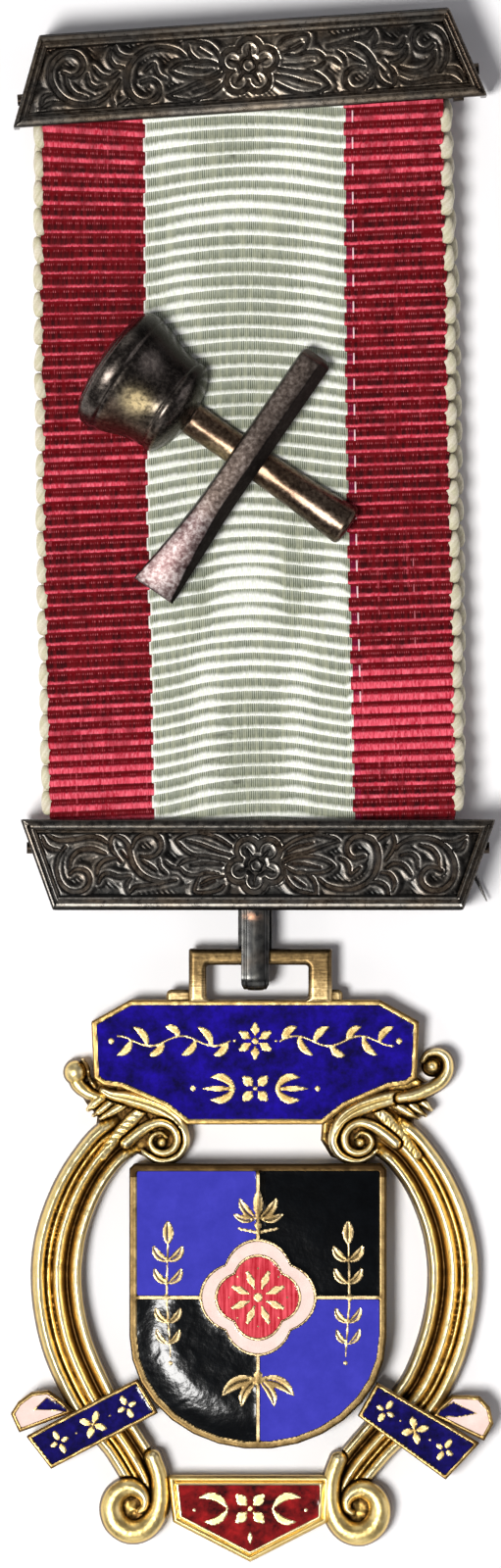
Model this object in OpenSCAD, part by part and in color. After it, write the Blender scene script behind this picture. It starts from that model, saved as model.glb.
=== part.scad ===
// Breast jewel lying on its back: an engraved brooch bar, a doubled moire ribbon
// that carries a crossed mallet and chisel, an engraved suspension bar, a strap
// loop and a gilt pendant with enamels. The face looks to +Z, the top of the
// jewel to +Y and the wearer's left to +X. The origin is on the surface that it
// lies on, under the middle of its outline. Millimetres.

/* [Bars] */
// Length of each bar along its wide side
bar_wide = 36.8; // [36.4:0.1:37.2]
// Length of each bar along its narrow side
bar_narrow = 31.8; // [31.2:0.1:32.4]
// Height of each bar across its face
bar_h = 7.0; // [6.8:0.1:7.2]
// Thickness of the bars' folded walls
bar_wall = 0.4; // [0.35:0.05:0.4]
// Depth of the recessed panel in each bar's face
panel_depth = 0.2; // [0.1:0.05:0.3]
// Tilt of the brooch bar against the ribbon, degrees
brooch_tilt = 3.9; // [3.5:0.1:4.3]

/* [Ribbon] */
// Width of the ribbon over its looped edges
ribbon_w = 32.4; // [31.8:0.1:32.4]
// Thickness of each ply
ribbon_t = 1.0; // [1.0:0.05:1.1]

/* [Emblem] */
// Radius of the mallet's wide face
mallet_r = 5.1; // [4.8:0.1:5.2]
// Overall length of the mallet
mallet_l = 22.9; // [22.4:0.1:23.2]
// Width of the chisel's square bar
chisel_w = 2.1; // [1.9:0.1:2.2]
// Overall length of the chisel
chisel_l = 22.3; // [21.8:0.1:22.6]

/* [Strap] */
// Width of the suspension strap's front leaf
strap_w = 2.16; // [2.0:0.02:2.2]
// Thickness of the strap
strap_t = 0.4; // [0.35:0.05:0.45]

/* [Pendant] */
// Thickness of the scroll frame, without its ridges
frame_t = 1.6; // [1.4:0.1:1.8]
// Height of the ridges and rims on the frame
frame_top = 2.2; // [2.1:0.1:2.4]
// Height of the shield's and banners' rims
shield_top = 2.9; // [2.8:0.1:3.1]
// Half width of the shield
shield_hw = 10.0; // [9.9:0.05:10.1]
// Height of the shield
shield_h = 22.2; // [22.0:0.1:22.4]
// Clearance round each enamel in its cell
enamel_gap = 0.04; // [0.03:0.01:0.06]

/* [Hidden] */
$fn = 48;

silver = [0.22, 0.20, 0.19];
gunmetal = [0.16, 0.17, 0.18];
steel = [0.45, 0.45, 0.47];
gold = [0.80, 0.62, 0.24];
navy = [0.07, 0.03, 0.42];

// ---- heights of the bars, from the surface up
bar_z0 = 1.3;      // lower edge of the folded walls, top of the pins' fittings
bar_z1 = 5.4;      // face
loop_z = 3.3;      // axis of the ribbon's cross rods
loop_r = 1.0;      // middle radius of the ribbon's turn round a rod
rod_r = 0.45;
rod_y = -1.3;      // rod, from the bar's middle towards its wide side
face_t = bar_z1 - (loop_z + loop_r + ribbon_t/2 + 0.1);

// ---- places of the two bars: middle of each face
brooch_c = [-0.43, 55.827];
susp_c = [0.42, -6.11];

// ---- small helpers
function rot2(a, p) = [cos(a)*p[0] - sin(a)*p[1], sin(a)*p[0] + cos(a)*p[1]];
function rev(v) = [for (i = [len(v)-1 : -1 : 0]) v[i]];
function unit(v) = v / norm(v);
// turns of a closed outline: positive when it runs anticlockwise
function area2(p) = let (n = len(p)) [for (i = [0:n-1]) p[i][0]*p[(i+1)%n][1] - p[(i+1)%n][0]*p[i][1]] * [for (i = [0:n-1]) 1];
// outline moved inwards by d, mitred at each corner
function inset(p, d) = let (n = len(p), s = area2(p) > 0 ? 1 : -1)
  [for (i = [0:n-1])
    let (a = unit(p[i] - p[(i+n-1)%n]), b = unit(p[(i+1)%n] - p[i]),
         na = s*[-a[1], a[0]], nb = s*[-b[1], b[0]], m = na + nb)
      p[i] + d * m * 2 / (m * m)];
// smooth curve through rows of a table, n steps between rows
function cr(a, b, c, d, t) = 0.5*((2*b) + (c-a)*t + (2*a - 5*b + 4*c - d)*t*t + (3*b - a - 3*c + d)*t*t*t);
function through(rows, n) = let (m = len(rows))
  [for (i = [0:m-2], k = [0:n-1]) cr(rows[max(i-1,0)], rows[i], rows[i+1], rows[min(i+2,m-1)], k/n), rows[m-1]];
// side of a band: points at the fraction f of the half width, left of its run
function side_of(c, f) = let (m = len(c))
  [for (i = [0:m-1]) let (a = c[max(i-1,0)], b = c[min(i+1,m-1)], d = unit([b[0]-a[0], b[1]-a[1]]))
    [c[i][0] - d[1]*f*c[i][2]/2, c[i][1] + d[0]*f*c[i][2]/2]];
function band(c, f0, f1) = concat(side_of(c, f0), rev(side_of(c, f1)));

module slab(p, z0, z1) { translate([0, 0, z0]) linear_extrude(z1 - z0) polygon(p); }

// =====================================================================
// Bars: a stamped face with folded walls on the narrow side and the ends,
// open at the back and along the wide side, where the ribbon enters
// =====================================================================
function bar_hx(y) = bar_wide/2 + (bar_narrow - bar_wide)/2 * (y + bar_h/2)/bar_h;
function bar_outline() = [[-bar_wide/2, -bar_h/2], [bar_wide/2, -bar_h/2], [bar_narrow/2, bar_h/2], [-bar_narrow/2, bar_h/2]];
function bar_strip(y0, y1, e) = [[-bar_hx(y0)+e, y0], [bar_hx(y0)-e, y0], [bar_hx(y1)-e, y1], [-bar_hx(y1)+e, y1]];

module bar_body() {
  difference() {
    union() {
      slab(bar_outline(), bar_z0, bar_z1 - 0.3);
      // the face's edge steps in
      slab(inset(bar_outline(), 0.2), bar_z1 - 0.5, bar_z1);
    }
    slab(bar_strip(-bar_h/2 - 1, bar_h/2 - bar_wall, bar_wall), bar_z0 - 1, bar_z1 - face_t);
    slab(inset(bar_outline(), 0.8), bar_z1 - panel_depth, bar_z1 + 1);
  }
  // strip across the back, which carries the pin's fittings
  slab(bar_strip(-0.5, bar_h/2, 0.1), bar_z0, bar_z0 + 0.35);
  // cross rod for the ribbon, its ends just proud of the walls
  translate([0, rod_y, loop_z]) rotate([0, 90, 0])
    cylinder(r = rod_r, h = 2*bar_hx(rod_y) + 0.7, center = true);
}

pin_y = 0.3;       // line of the needle, from the bar's middle
pin_z = 0.75;      // height of the needle's axis
pin_r = 0.28;
hinge_x = 14.3;

// hinge ears with their rivet at one end and an open hook at the other
module pin_fittings(s) {
  for (k = [-1, 1])
    translate([-s*hinge_x - 0.85, pin_y + k*0.58 - 0.2, 0]) cube([1.7, 0.4, bar_z0 + 0.05]);
  translate([-s*hinge_x, pin_y, pin_z]) rotate([90, 0, 0]) cylinder(r = 0.25, h = 1.2, center = true);
  difference() {
    translate([s*hinge_x - 0.7, pin_y - 0.8, 0]) cube([1.4, 1.6, bar_z0 + 0.05]);
    translate([s*hinge_x - 1, pin_y, pin_z]) rotate([0, 90, 0]) cylinder(r = 0.4, h = 2);
    translate([s*hinge_x - 1, pin_y, pin_z - 0.4]) cube([2, 1, 0.8]);
  }
}

// eye and straight stem of a needle, towards +s
module needle(s, reach) {
  difference() {
    union() {
      translate([-s*hinge_x, pin_y, pin_z]) rotate([90, 0, 0]) cylinder(r = 0.5, h = 0.6, center = true);
      translate([-s*hinge_x, pin_y, pin_z]) rotate([0, s*90, 0]) cylinder(r = pin_r, h = hinge_x + reach);
    }
    translate([-s*hinge_x, pin_y, pin_z]) rotate([90, 0, 0]) cylinder(r = 0.3, h = 2, center = true);
  }
}

module at_brooch() { translate([brooch_c[0], brooch_c[1], 0]) rotate([0, 0, brooch_tilt]) children(); }
module at_susp() { translate([susp_c[0], susp_c[1], 0]) rotate([0, 0, 180]) children(); }

module brooch_bar() {
  color(silver) at_brooch() {
    bar_body();
    pin_fittings(1);
    // end of a folded tab under the face's wide edge
    translate([15.8, -bar_h/2 - 0.25, 3.6]) cube([0.8, 0.5, 1.45]);
  }
}

module brooch_pin() {
  color(steel) at_brooch() {
    needle(1, 15.2);
    translate([15.2, pin_y, pin_z]) rotate([0, 90, 0]) cylinder(r1 = pin_r, r2 = 0.06, h = 1.3);
  }
}

strap_x = 0.19;    // middle of the strap
strap_top = -7.2;  // ends of the strap's loop
strap_bottom = -15.93;
strap_z = 1.9;     // middle height of the strap
strap_out = 1.15;  // outer half height of the strap's loop

module suspension_bar() {
  color(silver) {
    difference() {
      at_susp() { bar_body(); pin_fittings(-1); }
      // way through the narrow wall for the strap
      translate([strap_x - 1.5, -10, 0.5]) cube([3, 3.4, 2.75]);
    }
    // lugs behind the face and the rod that the strap hangs on
    for (k = [-1, 1])
      translate([strap_x + k*1.75 - 0.25, -9.3, 1.3]) cube([0.5, 1.9, 3.6]);
    translate([strap_x, -8.2, strap_z]) rotate([0, 90, 0]) cylinder(r = 0.35, h = 3.6, center = true);
  }
}

module ribbon_pin() {
  color(steel) {
    at_susp() needle(-1, 15.75);
    // stem's end turned down past the bar's end, in two steps to the tip
    translate([susp_c[0] + 15.6, susp_c[1] - pin_y, pin_z]) {
      rotate([0, 0, -19]) translate([-0.1, 0, 0]) rotate([0, 90, 0]) cylinder(r = 0.26, h = 1.45);
      translate([1.23, -0.42, 0]) rotate([0, 0, -65.3]) translate([-0.12, 0, 0]) rotate([0, 90, 0]) cylinder(r1 = 0.24, r2 = 0.05, h = 2.5);
    }
  }
}

// =====================================================================
// Ribbon: one closed loop of two plies round the bars' cross rods. The
// plies sag a little between the bars and lie nearly together.
// =====================================================================
// middle line of the ribbon: across at height y
function ribbon_x(y) = 0.017 - 0.0139*(y + 4.81);
rib_yb = susp_c[1] - rod_y;                                   // lower rod
rib_t = brooch_c + rot2(brooch_tilt, [0, rod_y]);             // upper rod, middle
function rib_yt(e) = rib_t[1] + tan(brooch_tilt)*(ribbon_x(rib_t[1]) + e*ribbon_w/2 - rib_t[0]);
// height of the middle between the plies and their half distance
function rib_zc(t) = 2.3 + 1.0*pow(abs(2*t - 1), 3);
function rib_hd(t) = 0.8 + 0.2*pow(abs(2*t - 1), 4);
RN = 20; // steps along a ply
RL = 8;  // steps round a rod
// rows: place along the ply from 0 to 1, push past the rod, height
rib_rows = concat(
  [for (i = [0:RN-1]) let (t = i/RN) [t, 0, rib_zc(t) + rib_hd(t)]],
  [for (k = [0:RL-1]) let (a = 180*k/RL) [1, loop_r*sin(a), loop_z + loop_r*cos(a)]],
  [for (i = [0:RN-1]) let (t = 1 - i/RN) [t, 0, rib_zc(t) - rib_hd(t)]],
  [for (k = [0:RL-1]) let (a = 180*k/RL) [0, -loop_r*sin(a), loop_z - loop_r*cos(a)]]);
RM = len(rib_rows);
function rib_yz(i, e) = let (r = rib_rows[(i + RM) % RM]) [rib_yb + (rib_yt(e) - rib_yb)*r[0] + r[1], r[2]];
function rib_pt(i, e, o) = let (d = unit(rib_yz(i+1, e) - rib_yz(i-1, e)), p = rib_yz(i, e) + o*[-d[1], d[0]])
  [ribbon_x(p[0]) + e*ribbon_w/2, p[0], p[1]];

module ribbon() {
  pts = [for (i = [0:RM-1], c = [[-1, 1], [1, 1], [1, -1], [-1, -1]]) rib_pt(i, c[0], c[1]*ribbon_t/2)];
  faces = [for (i = [0:RM-1], k = [0:3], h = [0:1])
    let (a = 4*i + k, b = 4*i + (k+1)%4, c = 4*((i+1)%RM) + (k+1)%4, d = 4*((i+1)%RM) + k)
      h == 0 ? [a, b, c] : [a, c, d]];
  color([0.72, 0.10, 0.20]) difference() {
    polyhedron(points = pts, faces = faces, convexity = 6);
    // hole for the emblem's post, through the front ply
    translate([emblem_x, emblem_y, 2.35]) cylinder(r = 0.6, h = 3);
  }
}

// =====================================================================
// Emblem: half-round mallet under a square chisel, soldered where they cross
// =====================================================================
emblem_x = -1.12;
emblem_y = 24.77;
emblem_z = 3.76;   // flat back of the mallet
mallet_at = [-11.64, 33.32];  // crown of the wide face
mallet_dir = -34.7;           // run of the mallet's axis, degrees
// profile rows: distance along the axis, radius
mallet_rows = [
  [0.00, 0.00], [0.10, 1.60], [0.32, mallet_r - 2.10], [0.62, mallet_r - 0.95],
  [0.84, mallet_r - 0.55], [1.05, mallet_r - 0.25], [1.45, mallet_r - 0.05], [1.85, mallet_r],
  [2.40, mallet_r - 0.05], [2.90, mallet_r - 0.20], [3.60, mallet_r - 0.42], [4.30, mallet_r - 0.75],
  [5.40, mallet_r - 1.05], [6.40, mallet_r - 1.16], [7.10, mallet_r - 1.15], [7.35, mallet_r - 1.22],
  [7.75, mallet_r - 1.60], [8.10, mallet_r - 2.20], [8.30, 1.32], [11.0, 1.25], [14.5, 1.28],
  [19.0, 1.42], [mallet_l - 0.55, 1.56], [mallet_l - 0.25, 1.50], [mallet_l, 1.20], [mallet_l, 0.00]];

chisel_at = [4.90, 33.53];    // head of the chisel
chisel_dir = 235.4;           // run from the head to the edge, degrees
chisel_z0 = emblem_z + 0.75;
chisel_z1 = chisel_z0 + 1.7;

module chisel() {
  w = chisel_w/2;
  translate([chisel_at[0], chisel_at[1], 0]) rotate([0, 0, chisel_dir])
    intersection() {
      // plan: square head with small chamfers, straight bar, flared blade
      slab([[0.25, -w+0.25], [0.25, w-0.25], [0.5, w], [14, w], [17.5, w*1.12], [20.3, w*1.36], [chisel_l, w*1.68],
            [chisel_l, -w*1.68], [20.3, -w*1.36], [17.5, -w*1.12], [14, -w], [0.5, -w]], chisel_z0 - 1, chisel_z1 + 1);
      // side: blade thinned to its edge
      translate([0, 5, 0]) rotate([90, 0, 0]) linear_extrude(10)
        polygon([[0, chisel_z0 + 0.2], [0.3, chisel_z0], [chisel_l, chisel_z0], [chisel_l, chisel_z0 + 0.25],
                 [15.5, chisel_z1 - 0.1], [14, chisel_z1], [0.3, chisel_z1], [0, chisel_z1 - 0.2]]);
    }
}

module mallet_and_chisel() {
  color(silver) {
    translate([mallet_at[0], mallet_at[1], emblem_z]) rotate([0, 0, mallet_dir + 90])
      rotate([90, 0, 0]) rotate_extrude(angle = 180) polygon([for (r = mallet_rows) [r[1], r[0]]]);
    chisel();
  }
}

// hidden post with a round foot under the front ply
module emblem_post() {
  color(steel) translate([emblem_x, emblem_y, 0]) {
    translate([0, 0, 2.15]) cylinder(r = 1.6, h = 0.3);
    translate([0, 0, 2.15]) cylinder(r = 0.45, h = emblem_z - 0.04 - 2.15);
  }
}

// =====================================================================
// Strap loop between the suspension bar and the pendant's bail
// =====================================================================
module race(x0, x1, y0, y1, z, r) {
  for (y = [y0 - r, y1 + r])
    translate([x0, y, z]) rotate([0, 90, 0]) cylinder(r = r, h = x1 - x0);
  translate([x0, y1 + r, z - r]) cube([x1 - x0, y0 - y1 - 2*r, 2*r]);
}

module suspension_loop() {
  color(gunmetal) difference() {
    union() {
      race(strap_x - strap_w/2, strap_x + strap_w/2, strap_top, strap_bottom, strap_z, strap_out);
      // the back leaf is a little wider
      translate([strap_x - 1.35, -13.0, strap_z - strap_out]) cube([2.65, 4.6, strap_t]);
    }
    race(-3, 3, strap_top - strap_t, strap_bottom + strap_t, strap_z, strap_out - strap_t);
  }
}

// =====================================================================
// Pendant: one soldered gilt piece. Tables give the distance from the middle
// line and the height; m is -1 for the left half and 1 for the right.
// =====================================================================
axis_x = 0.2;
// the lower part of the frame leans a little to the left
function lean(y) = y > -47 ? 0 : -0.75*min(1, (-47 - y)/7);
function place(m, p) = [axis_x + m*p[0] + lean(p[1]), p[1]];
function both(rows) = concat([for (p = rows) place(1, p)], [for (p = rev(rows)) place(-1, p)]);

// rows: out from the middle line, height, width of the arm's band
arm_rows = [
  [ 9.8, -26.9, 3.6], [11.4, -28.0, 3.8], [12.8, -29.7, 3.8], [13.9, -31.6, 3.9],
  [14.8, -33.9, 4.0], [15.3, -36.1, 4.1], [15.45, -38.4, 4.1], [15.2, -41.0, 4.1],
  [14.5, -43.8, 4.1], [13.2, -46.8, 4.0], [11.7, -49.0, 3.8], [ 9.95, -51.0, 3.5],
  [ 8.3, -53.3, 3.5], [ 7.4, -55.2, 2.7], [ 7.1, -56.6, 2.0]];
function arm(m) = [for (r = through(arm_rows, 3)) [place(m, r)[0], r[1], r[2]]];

// rows: out from the middle line, height
cartouche_rows = [[9.7, -16.65], [12.75, -18.35], [12.55, -22.75], [11.8, -23.3], [10.4, -23.5], [9.0, -24.1], [7.0, -25.0], [5.3, -26.35]];
leaf_rows = [[12.6, -22.7], [10.4, -23.3], [8.6, -24.0], [7.0, -24.9], [5.2, -26.2], [5.1, -27.6], [5.9, -28.9], [7.4, -29.4], [9.3, -28.6], [12.4, -26.6], [12.3, -25.7], [13.1, -24.8], [13.9, -23.6]];
tablet_rows = [[6.3, -53.7], [6.15, -57.3], [0.1, -60.4], [-5.9, -57.3], [-6.3, -53.7]];

// rows of each banner: the four corners of its strip
banner_l = [[-17.58, -50.60], [-8.97, -46.14], [-7.37, -48.77], [-15.67, -53.11]];
banner_r = [[17.63, -51.13], [9.67, -46.41], [8.18, -49.00], [15.00, -53.95]];
// and the curled end behind it
curl_l = [[-18.15, -50.30], [-18.82, -48.84], [-18.25, -47.95], [-17.20, -47.17], [-15.90, -47.02], [-14.91, -47.75], [-13.90, -48.70]];
curl_r = [[18.00, -50.95], [18.73, -49.61], [18.46, -48.39], [17.63, -47.47], [15.50, -47.38], [14.40, -48.40], [14.00, -49.00]];

// U-shaped shield, its straight top at 0 and its foot at -h
shield_c = [0.42, -29.38];
function shield_pts(hw, h) = concat(
  [[-hw + 0.4, 0], [hw - 0.4, 0], [hw, -0.4]],
  [for (i = [0:14]) let (a = i*12) [hw*cos(a), -(h - 8.8) - 8.8*sin(a)]],
  [[-hw, -0.4]]);
function at_shield(p) = [for (q = p) shield_c + q];

// Shield cells. The field is quartered, with a four-lobed medallion over it.
cell_in = 0.62;    // rim, from the outline to the enamel
med_c = [0, -10.4];
med_r = 4.3;       // lobes of the medallion, outside
line_w = 0.4;      // width of a gilt line between cells
function lobed(r, n) = [for (i = [0:n-1]) let (a = 360*i/n, k = r*(0.80 + 0.20*abs(cos(2*a)))) med_c + k*[cos(a), sin(a)]];

module pocket_shield() { linear_extrude(5) polygon(at_shield(inset(shield_pts(shield_hw, shield_h), cell_in))); }

// quarter of the field, sx and sy give its side of the middle
module quarter(sx, sy, e, z0, z1) {
  difference() {
    intersection() {
      slab(at_shield(inset(shield_pts(shield_hw, shield_h), cell_in + e)), z0, z1);
      translate([shield_c[0] + (sx > 0 ? line_w/2 + e : -20), shield_c[1] + med_c[1] + (sy > 0 ? line_w/2 + e : -20), z0 - 1])
        cube([20 - line_w/2 - e, 20 - line_w/2 - e, 4]);
    }
    slab(at_shield(lobed(med_r + 0.3 + e, 48)), z0 - 1, z1 + 1);
  }
}

module arm_side(m) {
  slab(band(arm(m), -1, 1), 0, frame_t);
  // three ridges along the band
  slab(band(arm(m), 0.48, 0.94), 0, frame_top);
  slab(band(arm(m), -0.10, 0.26), 0, frame_top - 0.1);
  slab(band(arm(m), -0.92, -0.42), 0, frame_top);
}

module scrolls(m) {
  slab([for (p = leaf_rows) place(m, p)], 0, frame_t + 0.2);
  // knob beside the cartouche
  translate(concat(place(m, [13.8, m < 0 ? -22.6 : -21.85]), 0)) cylinder(r = 1.38, h = frame_top);
  // inner volute above the shield
  translate(concat(place(m, [m < 0 ? 7.26 : 7.95, -27.65]), 0)) {
    difference() {
      cylinder(r = 2.0, h = frame_top);
      translate([0, 0, frame_t]) cylinder(r = 1.35, h = 2);
    }
    cylinder(r = 0.7, h = frame_top);
  }
  // lower volute
  translate(concat(place(m, [8.65, -56.5]), 0)) {
    difference() {
      cylinder(r = 2.6, h = frame_top + 0.1);
      translate([0, 0, frame_t]) cylinder(r = 1.5, h = 2);
    }
    cylinder(r = 0.85, h = frame_top + 0.1);
  }
}

module bail() {
  difference() {
    translate([-4.97, -16.9, 1.35]) cube([11.17, 4.25, 1.05]);
    translate([-3.56, -16.62, 0]) cube([7.89, 2.68, 4]);
  }
  translate([-6.7, -16.9, 1.0]) cube([3.2, 1.1, 1.2]);
  translate([4.3, -16.9, 1.0]) cube([2.7, 1.1, 1.2]);
}

// plate with a raised rim and a cell sunk in it
module rimmed(p, rim, z0, floor_z, top) {
  difference() {
    slab(p, z0, top);
    slab(inset(p, rim), floor_z, top + 1);
  }
}
// enamel that fills such a cell
module fill(p, rim, floor_z, top) { slab(inset(p, rim + enamel_gap), floor_z + enamel_gap, top); }

module pendant_frame() {
  color(gold) {
    bail();
    for (m = [-1, 1]) { arm_side(m); scrolls(m); }
    rimmed(both(cartouche_rows), 0.48, 0, 1.5, frame_top);
    rimmed([for (p = tablet_rows) [p[0] - 0.3, p[1]]], 0.75, 0, 1.5, frame_top);
    rimmed(banner_l, 0.34, 1.2, 2.2, shield_top);
    rimmed(banner_r, 0.34, 1.2, 2.2, shield_top);
    rimmed(curl_l, 0.36, 1.0, 1.9, shield_top - 0.3);
    rimmed(curl_r, 0.36, 1.0, 1.9, shield_top - 0.3);
    // shield plate with its cells
    difference() {
      slab(at_shield(shield_pts(shield_hw, shield_h)), 0.9, shield_top);
      for (sx = [-1, 1], sy = [-1, 1]) quarter(sx, sy, 0, 2.2, 4);
      difference() {
        slab(at_shield(lobed(med_r, 48)), 2.2, 4);
        slab(at_shield(lobed(med_r - 0.9, 48)), 2, 5);
      }
      slab(at_shield(lobed(med_r - 1.2, 48)), 2.2, 4);
    }
  }
}

module cartouche_enamel() { color(navy) fill(both(cartouche_rows), 0.48, 1.5, frame_top - 0.1); }
module tablet_enamel() { color([0.55, 0.08, 0.09]) fill([for (p = tablet_rows) [p[0] - 0.3, p[1]]], 0.75, 1.5, frame_top - 0.1); }
module banner_enamel_left() { color(navy) fill(banner_l, 0.34, 2.2, shield_top - 0.05); }
module banner_enamel_right() { color(navy) fill(banner_r, 0.34, 2.2, shield_top - 0.05); }

// the curls' enamels stop at the strips in front of them
module curl_fill(p, q) {
  difference() {
    fill(p, 0.36, 1.9, shield_top - 0.4);
    slab(inset(q, -0.06), 0, 5);
  }
}
module banner_curl_left() { color([0.98, 0.90, 0.88]) curl_fill(curl_l, banner_l); }
module banner_curl_right() { color([0.98, 0.90, 0.88]) curl_fill(curl_r, banner_r); }

module shield_cell(sx, sy) { quarter(sx, sy, enamel_gap, 2.2 + enamel_gap, shield_top - 0.05); }
module shield_blue_upper() { color([0.31, 0.30, 0.78]) shield_cell(-1, 1); }
module shield_blue_lower() { color([0.31, 0.30, 0.78]) shield_cell(1, -1); }
module shield_black_upper() { color([0.02, 0.03, 0.04]) shield_cell(1, 1); }
module shield_black_lower() { color([0.02, 0.03, 0.04]) shield_cell(-1, -1); }
module shield_white_ring() {
  color([0.98, 0.86, 0.82]) difference() {
    slab(at_shield(lobed(med_r - enamel_gap, 48)), 2.2 + enamel_gap, shield_top - 0.05);
    slab(at_shield(lobed(med_r - 0.9 + enamel_gap, 48)), 2, 5);
  }
}
module shield_red_centre() {
  color([0.85, 0.22, 0.28]) slab(at_shield(lobed(med_r - 1.2 - enamel_gap, 48)), 2.2 + enamel_gap, shield_top - 0.05);
}

brooch_bar();
brooch_pin();
ribbon();
mallet_and_chisel();
emblem_post();
suspension_bar();
ribbon_pin();
suspension_loop();
pendant_frame();
cartouche_enamel();
tablet_enamel();
banner_enamel_left();
banner_enamel_right();
banner_curl_left();
banner_curl_right();
shield_blue_upper();
shield_blue_lower();
shield_black_upper();
shield_black_lower();
shield_white_ring();
shield_red_centre();
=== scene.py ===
import math
import numpy as np
import bpy
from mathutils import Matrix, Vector, geometry

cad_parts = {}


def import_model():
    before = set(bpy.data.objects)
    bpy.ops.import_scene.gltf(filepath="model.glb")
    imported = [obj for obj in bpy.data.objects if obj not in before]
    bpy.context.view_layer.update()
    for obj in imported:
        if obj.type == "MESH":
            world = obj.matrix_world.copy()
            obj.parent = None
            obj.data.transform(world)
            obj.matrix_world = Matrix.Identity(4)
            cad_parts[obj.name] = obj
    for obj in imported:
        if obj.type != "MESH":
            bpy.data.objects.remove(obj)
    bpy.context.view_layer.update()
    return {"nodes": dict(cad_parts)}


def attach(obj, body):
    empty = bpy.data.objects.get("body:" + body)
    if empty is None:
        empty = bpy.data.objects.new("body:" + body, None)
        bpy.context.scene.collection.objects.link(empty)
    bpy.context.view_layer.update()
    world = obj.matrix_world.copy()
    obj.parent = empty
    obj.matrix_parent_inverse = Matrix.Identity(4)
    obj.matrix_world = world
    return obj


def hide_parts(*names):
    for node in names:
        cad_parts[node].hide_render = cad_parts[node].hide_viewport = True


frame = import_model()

MM = 0.001
rng = np.random.default_rng(7)

# =====================================================================
# Numbers and curves
# =====================================================================
def smooth(t):
    t = np.clip(t, 0.0, 1.0)
    return t * t * (3.0 - 2.0 * t)


def dome(q):
    return np.sqrt(np.clip(1.0 - q * q, 0.0, 1.0))


def bell(q):
    return np.clip(1.0 - q * q, 0.0, 1.0) ** 2


def through(rows, n=6):
    """Smooth curve through the rows of a table, all columns alike."""
    r = np.asarray(rows, float)
    p = np.vstack([2 * r[0] - r[1], r, 2 * r[-1] - r[-2]])
    out = []
    for i in range(1, len(p) - 2):
        a, b, c, d = p[i - 1], p[i], p[i + 1], p[i + 2]
        for k in range(n):
            t = k / n
            out.append(0.5 * ((2 * b) + (c - a) * t + (2 * a - 5 * b + 4 * c - d) * t * t + (3 * b - a - 3 * c + d) * t ** 3))
    out.append(r[-1])
    return np.array(out)


def rot(a, p):
    c, s = math.cos(math.radians(a)), math.sin(math.radians(a))
    p = np.asarray(p, float)
    return np.stack([c * p[..., 0] - s * p[..., 1], s * p[..., 0] + c * p[..., 1]], -1)


def inset(p, d):
    """Outline moved inwards by d, mitred."""
    p = np.asarray(p, float)
    a, b = p - np.roll(p, 1, 0), np.roll(p, -1, 0) - p
    a /= np.linalg.norm(a, axis=1)[:, None]
    b /= np.linalg.norm(b, axis=1)[:, None]
    area = np.sum(p[:, 0] * np.roll(p[:, 1], -1) - np.roll(p[:, 0], -1) * p[:, 1])
    s = 1.0 if area > 0 else -1.0
    m = s * (np.stack([-a[:, 1], a[:, 0]], 1) + np.stack([-b[:, 1], b[:, 0]], 1))
    return p + d * m * 2 / np.sum(m * m, axis=1)[:, None]


class Field:
    """A square net of points over a box, in millimetres."""

    def __init__(self, x0, x1, y0, y1, cell):
        self.cell, self.x0, self.y0 = cell, x0, y0
        self.xs = np.arange(x0, x1 + cell, cell)
        self.ys = np.arange(y0, y1 + cell, cell)
        self.X, self.Y = np.meshgrid(self.xs, self.ys)

    def full(self, v):
        return np.full(self.X.shape, float(v))

    def win(self, x0, x1, y0, y1):
        nx, ny = len(self.xs), len(self.ys)
        i0 = int(max(0, math.floor((x0 - self.x0) / self.cell)))
        i1 = int(min(nx, math.ceil((x1 - self.x0) / self.cell) + 1))
        j0 = int(max(0, math.floor((y0 - self.y0) / self.cell)))
        j1 = int(min(ny, math.ceil((y1 - self.y0) / self.cell) + 1))
        return (slice(j0, max(j0, j1)), slice(i0, max(i0, i1)))


def sd_poly(F, pts):
    """Distance to an outline, negative inside."""
    p = np.asarray(pts, float)
    x, y = F.X, F.Y
    best = np.full(x.shape, 1e9)
    odd = np.zeros(x.shape, bool)
    for i in range(len(p)):
        a, b = p[i], p[(i + 1) % len(p)]
        e = b - a
        t = np.clip(((x - a[0]) * e[0] + (y - a[1]) * e[1]) / max(e @ e, 1e-12), 0, 1)
        best = np.minimum(best, (x - a[0] - t * e[0]) ** 2 + (y - a[1] - t * e[1]) ** 2)
        if a[1] != b[1]:
            cross = ((a[1] > y) != (b[1] > y)) & (x < (b[0] - a[0]) * (y - a[1]) / (b[1] - a[1]) + a[0])
            odd ^= cross
    return np.where(odd, -1, 1) * np.sqrt(best)


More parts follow.
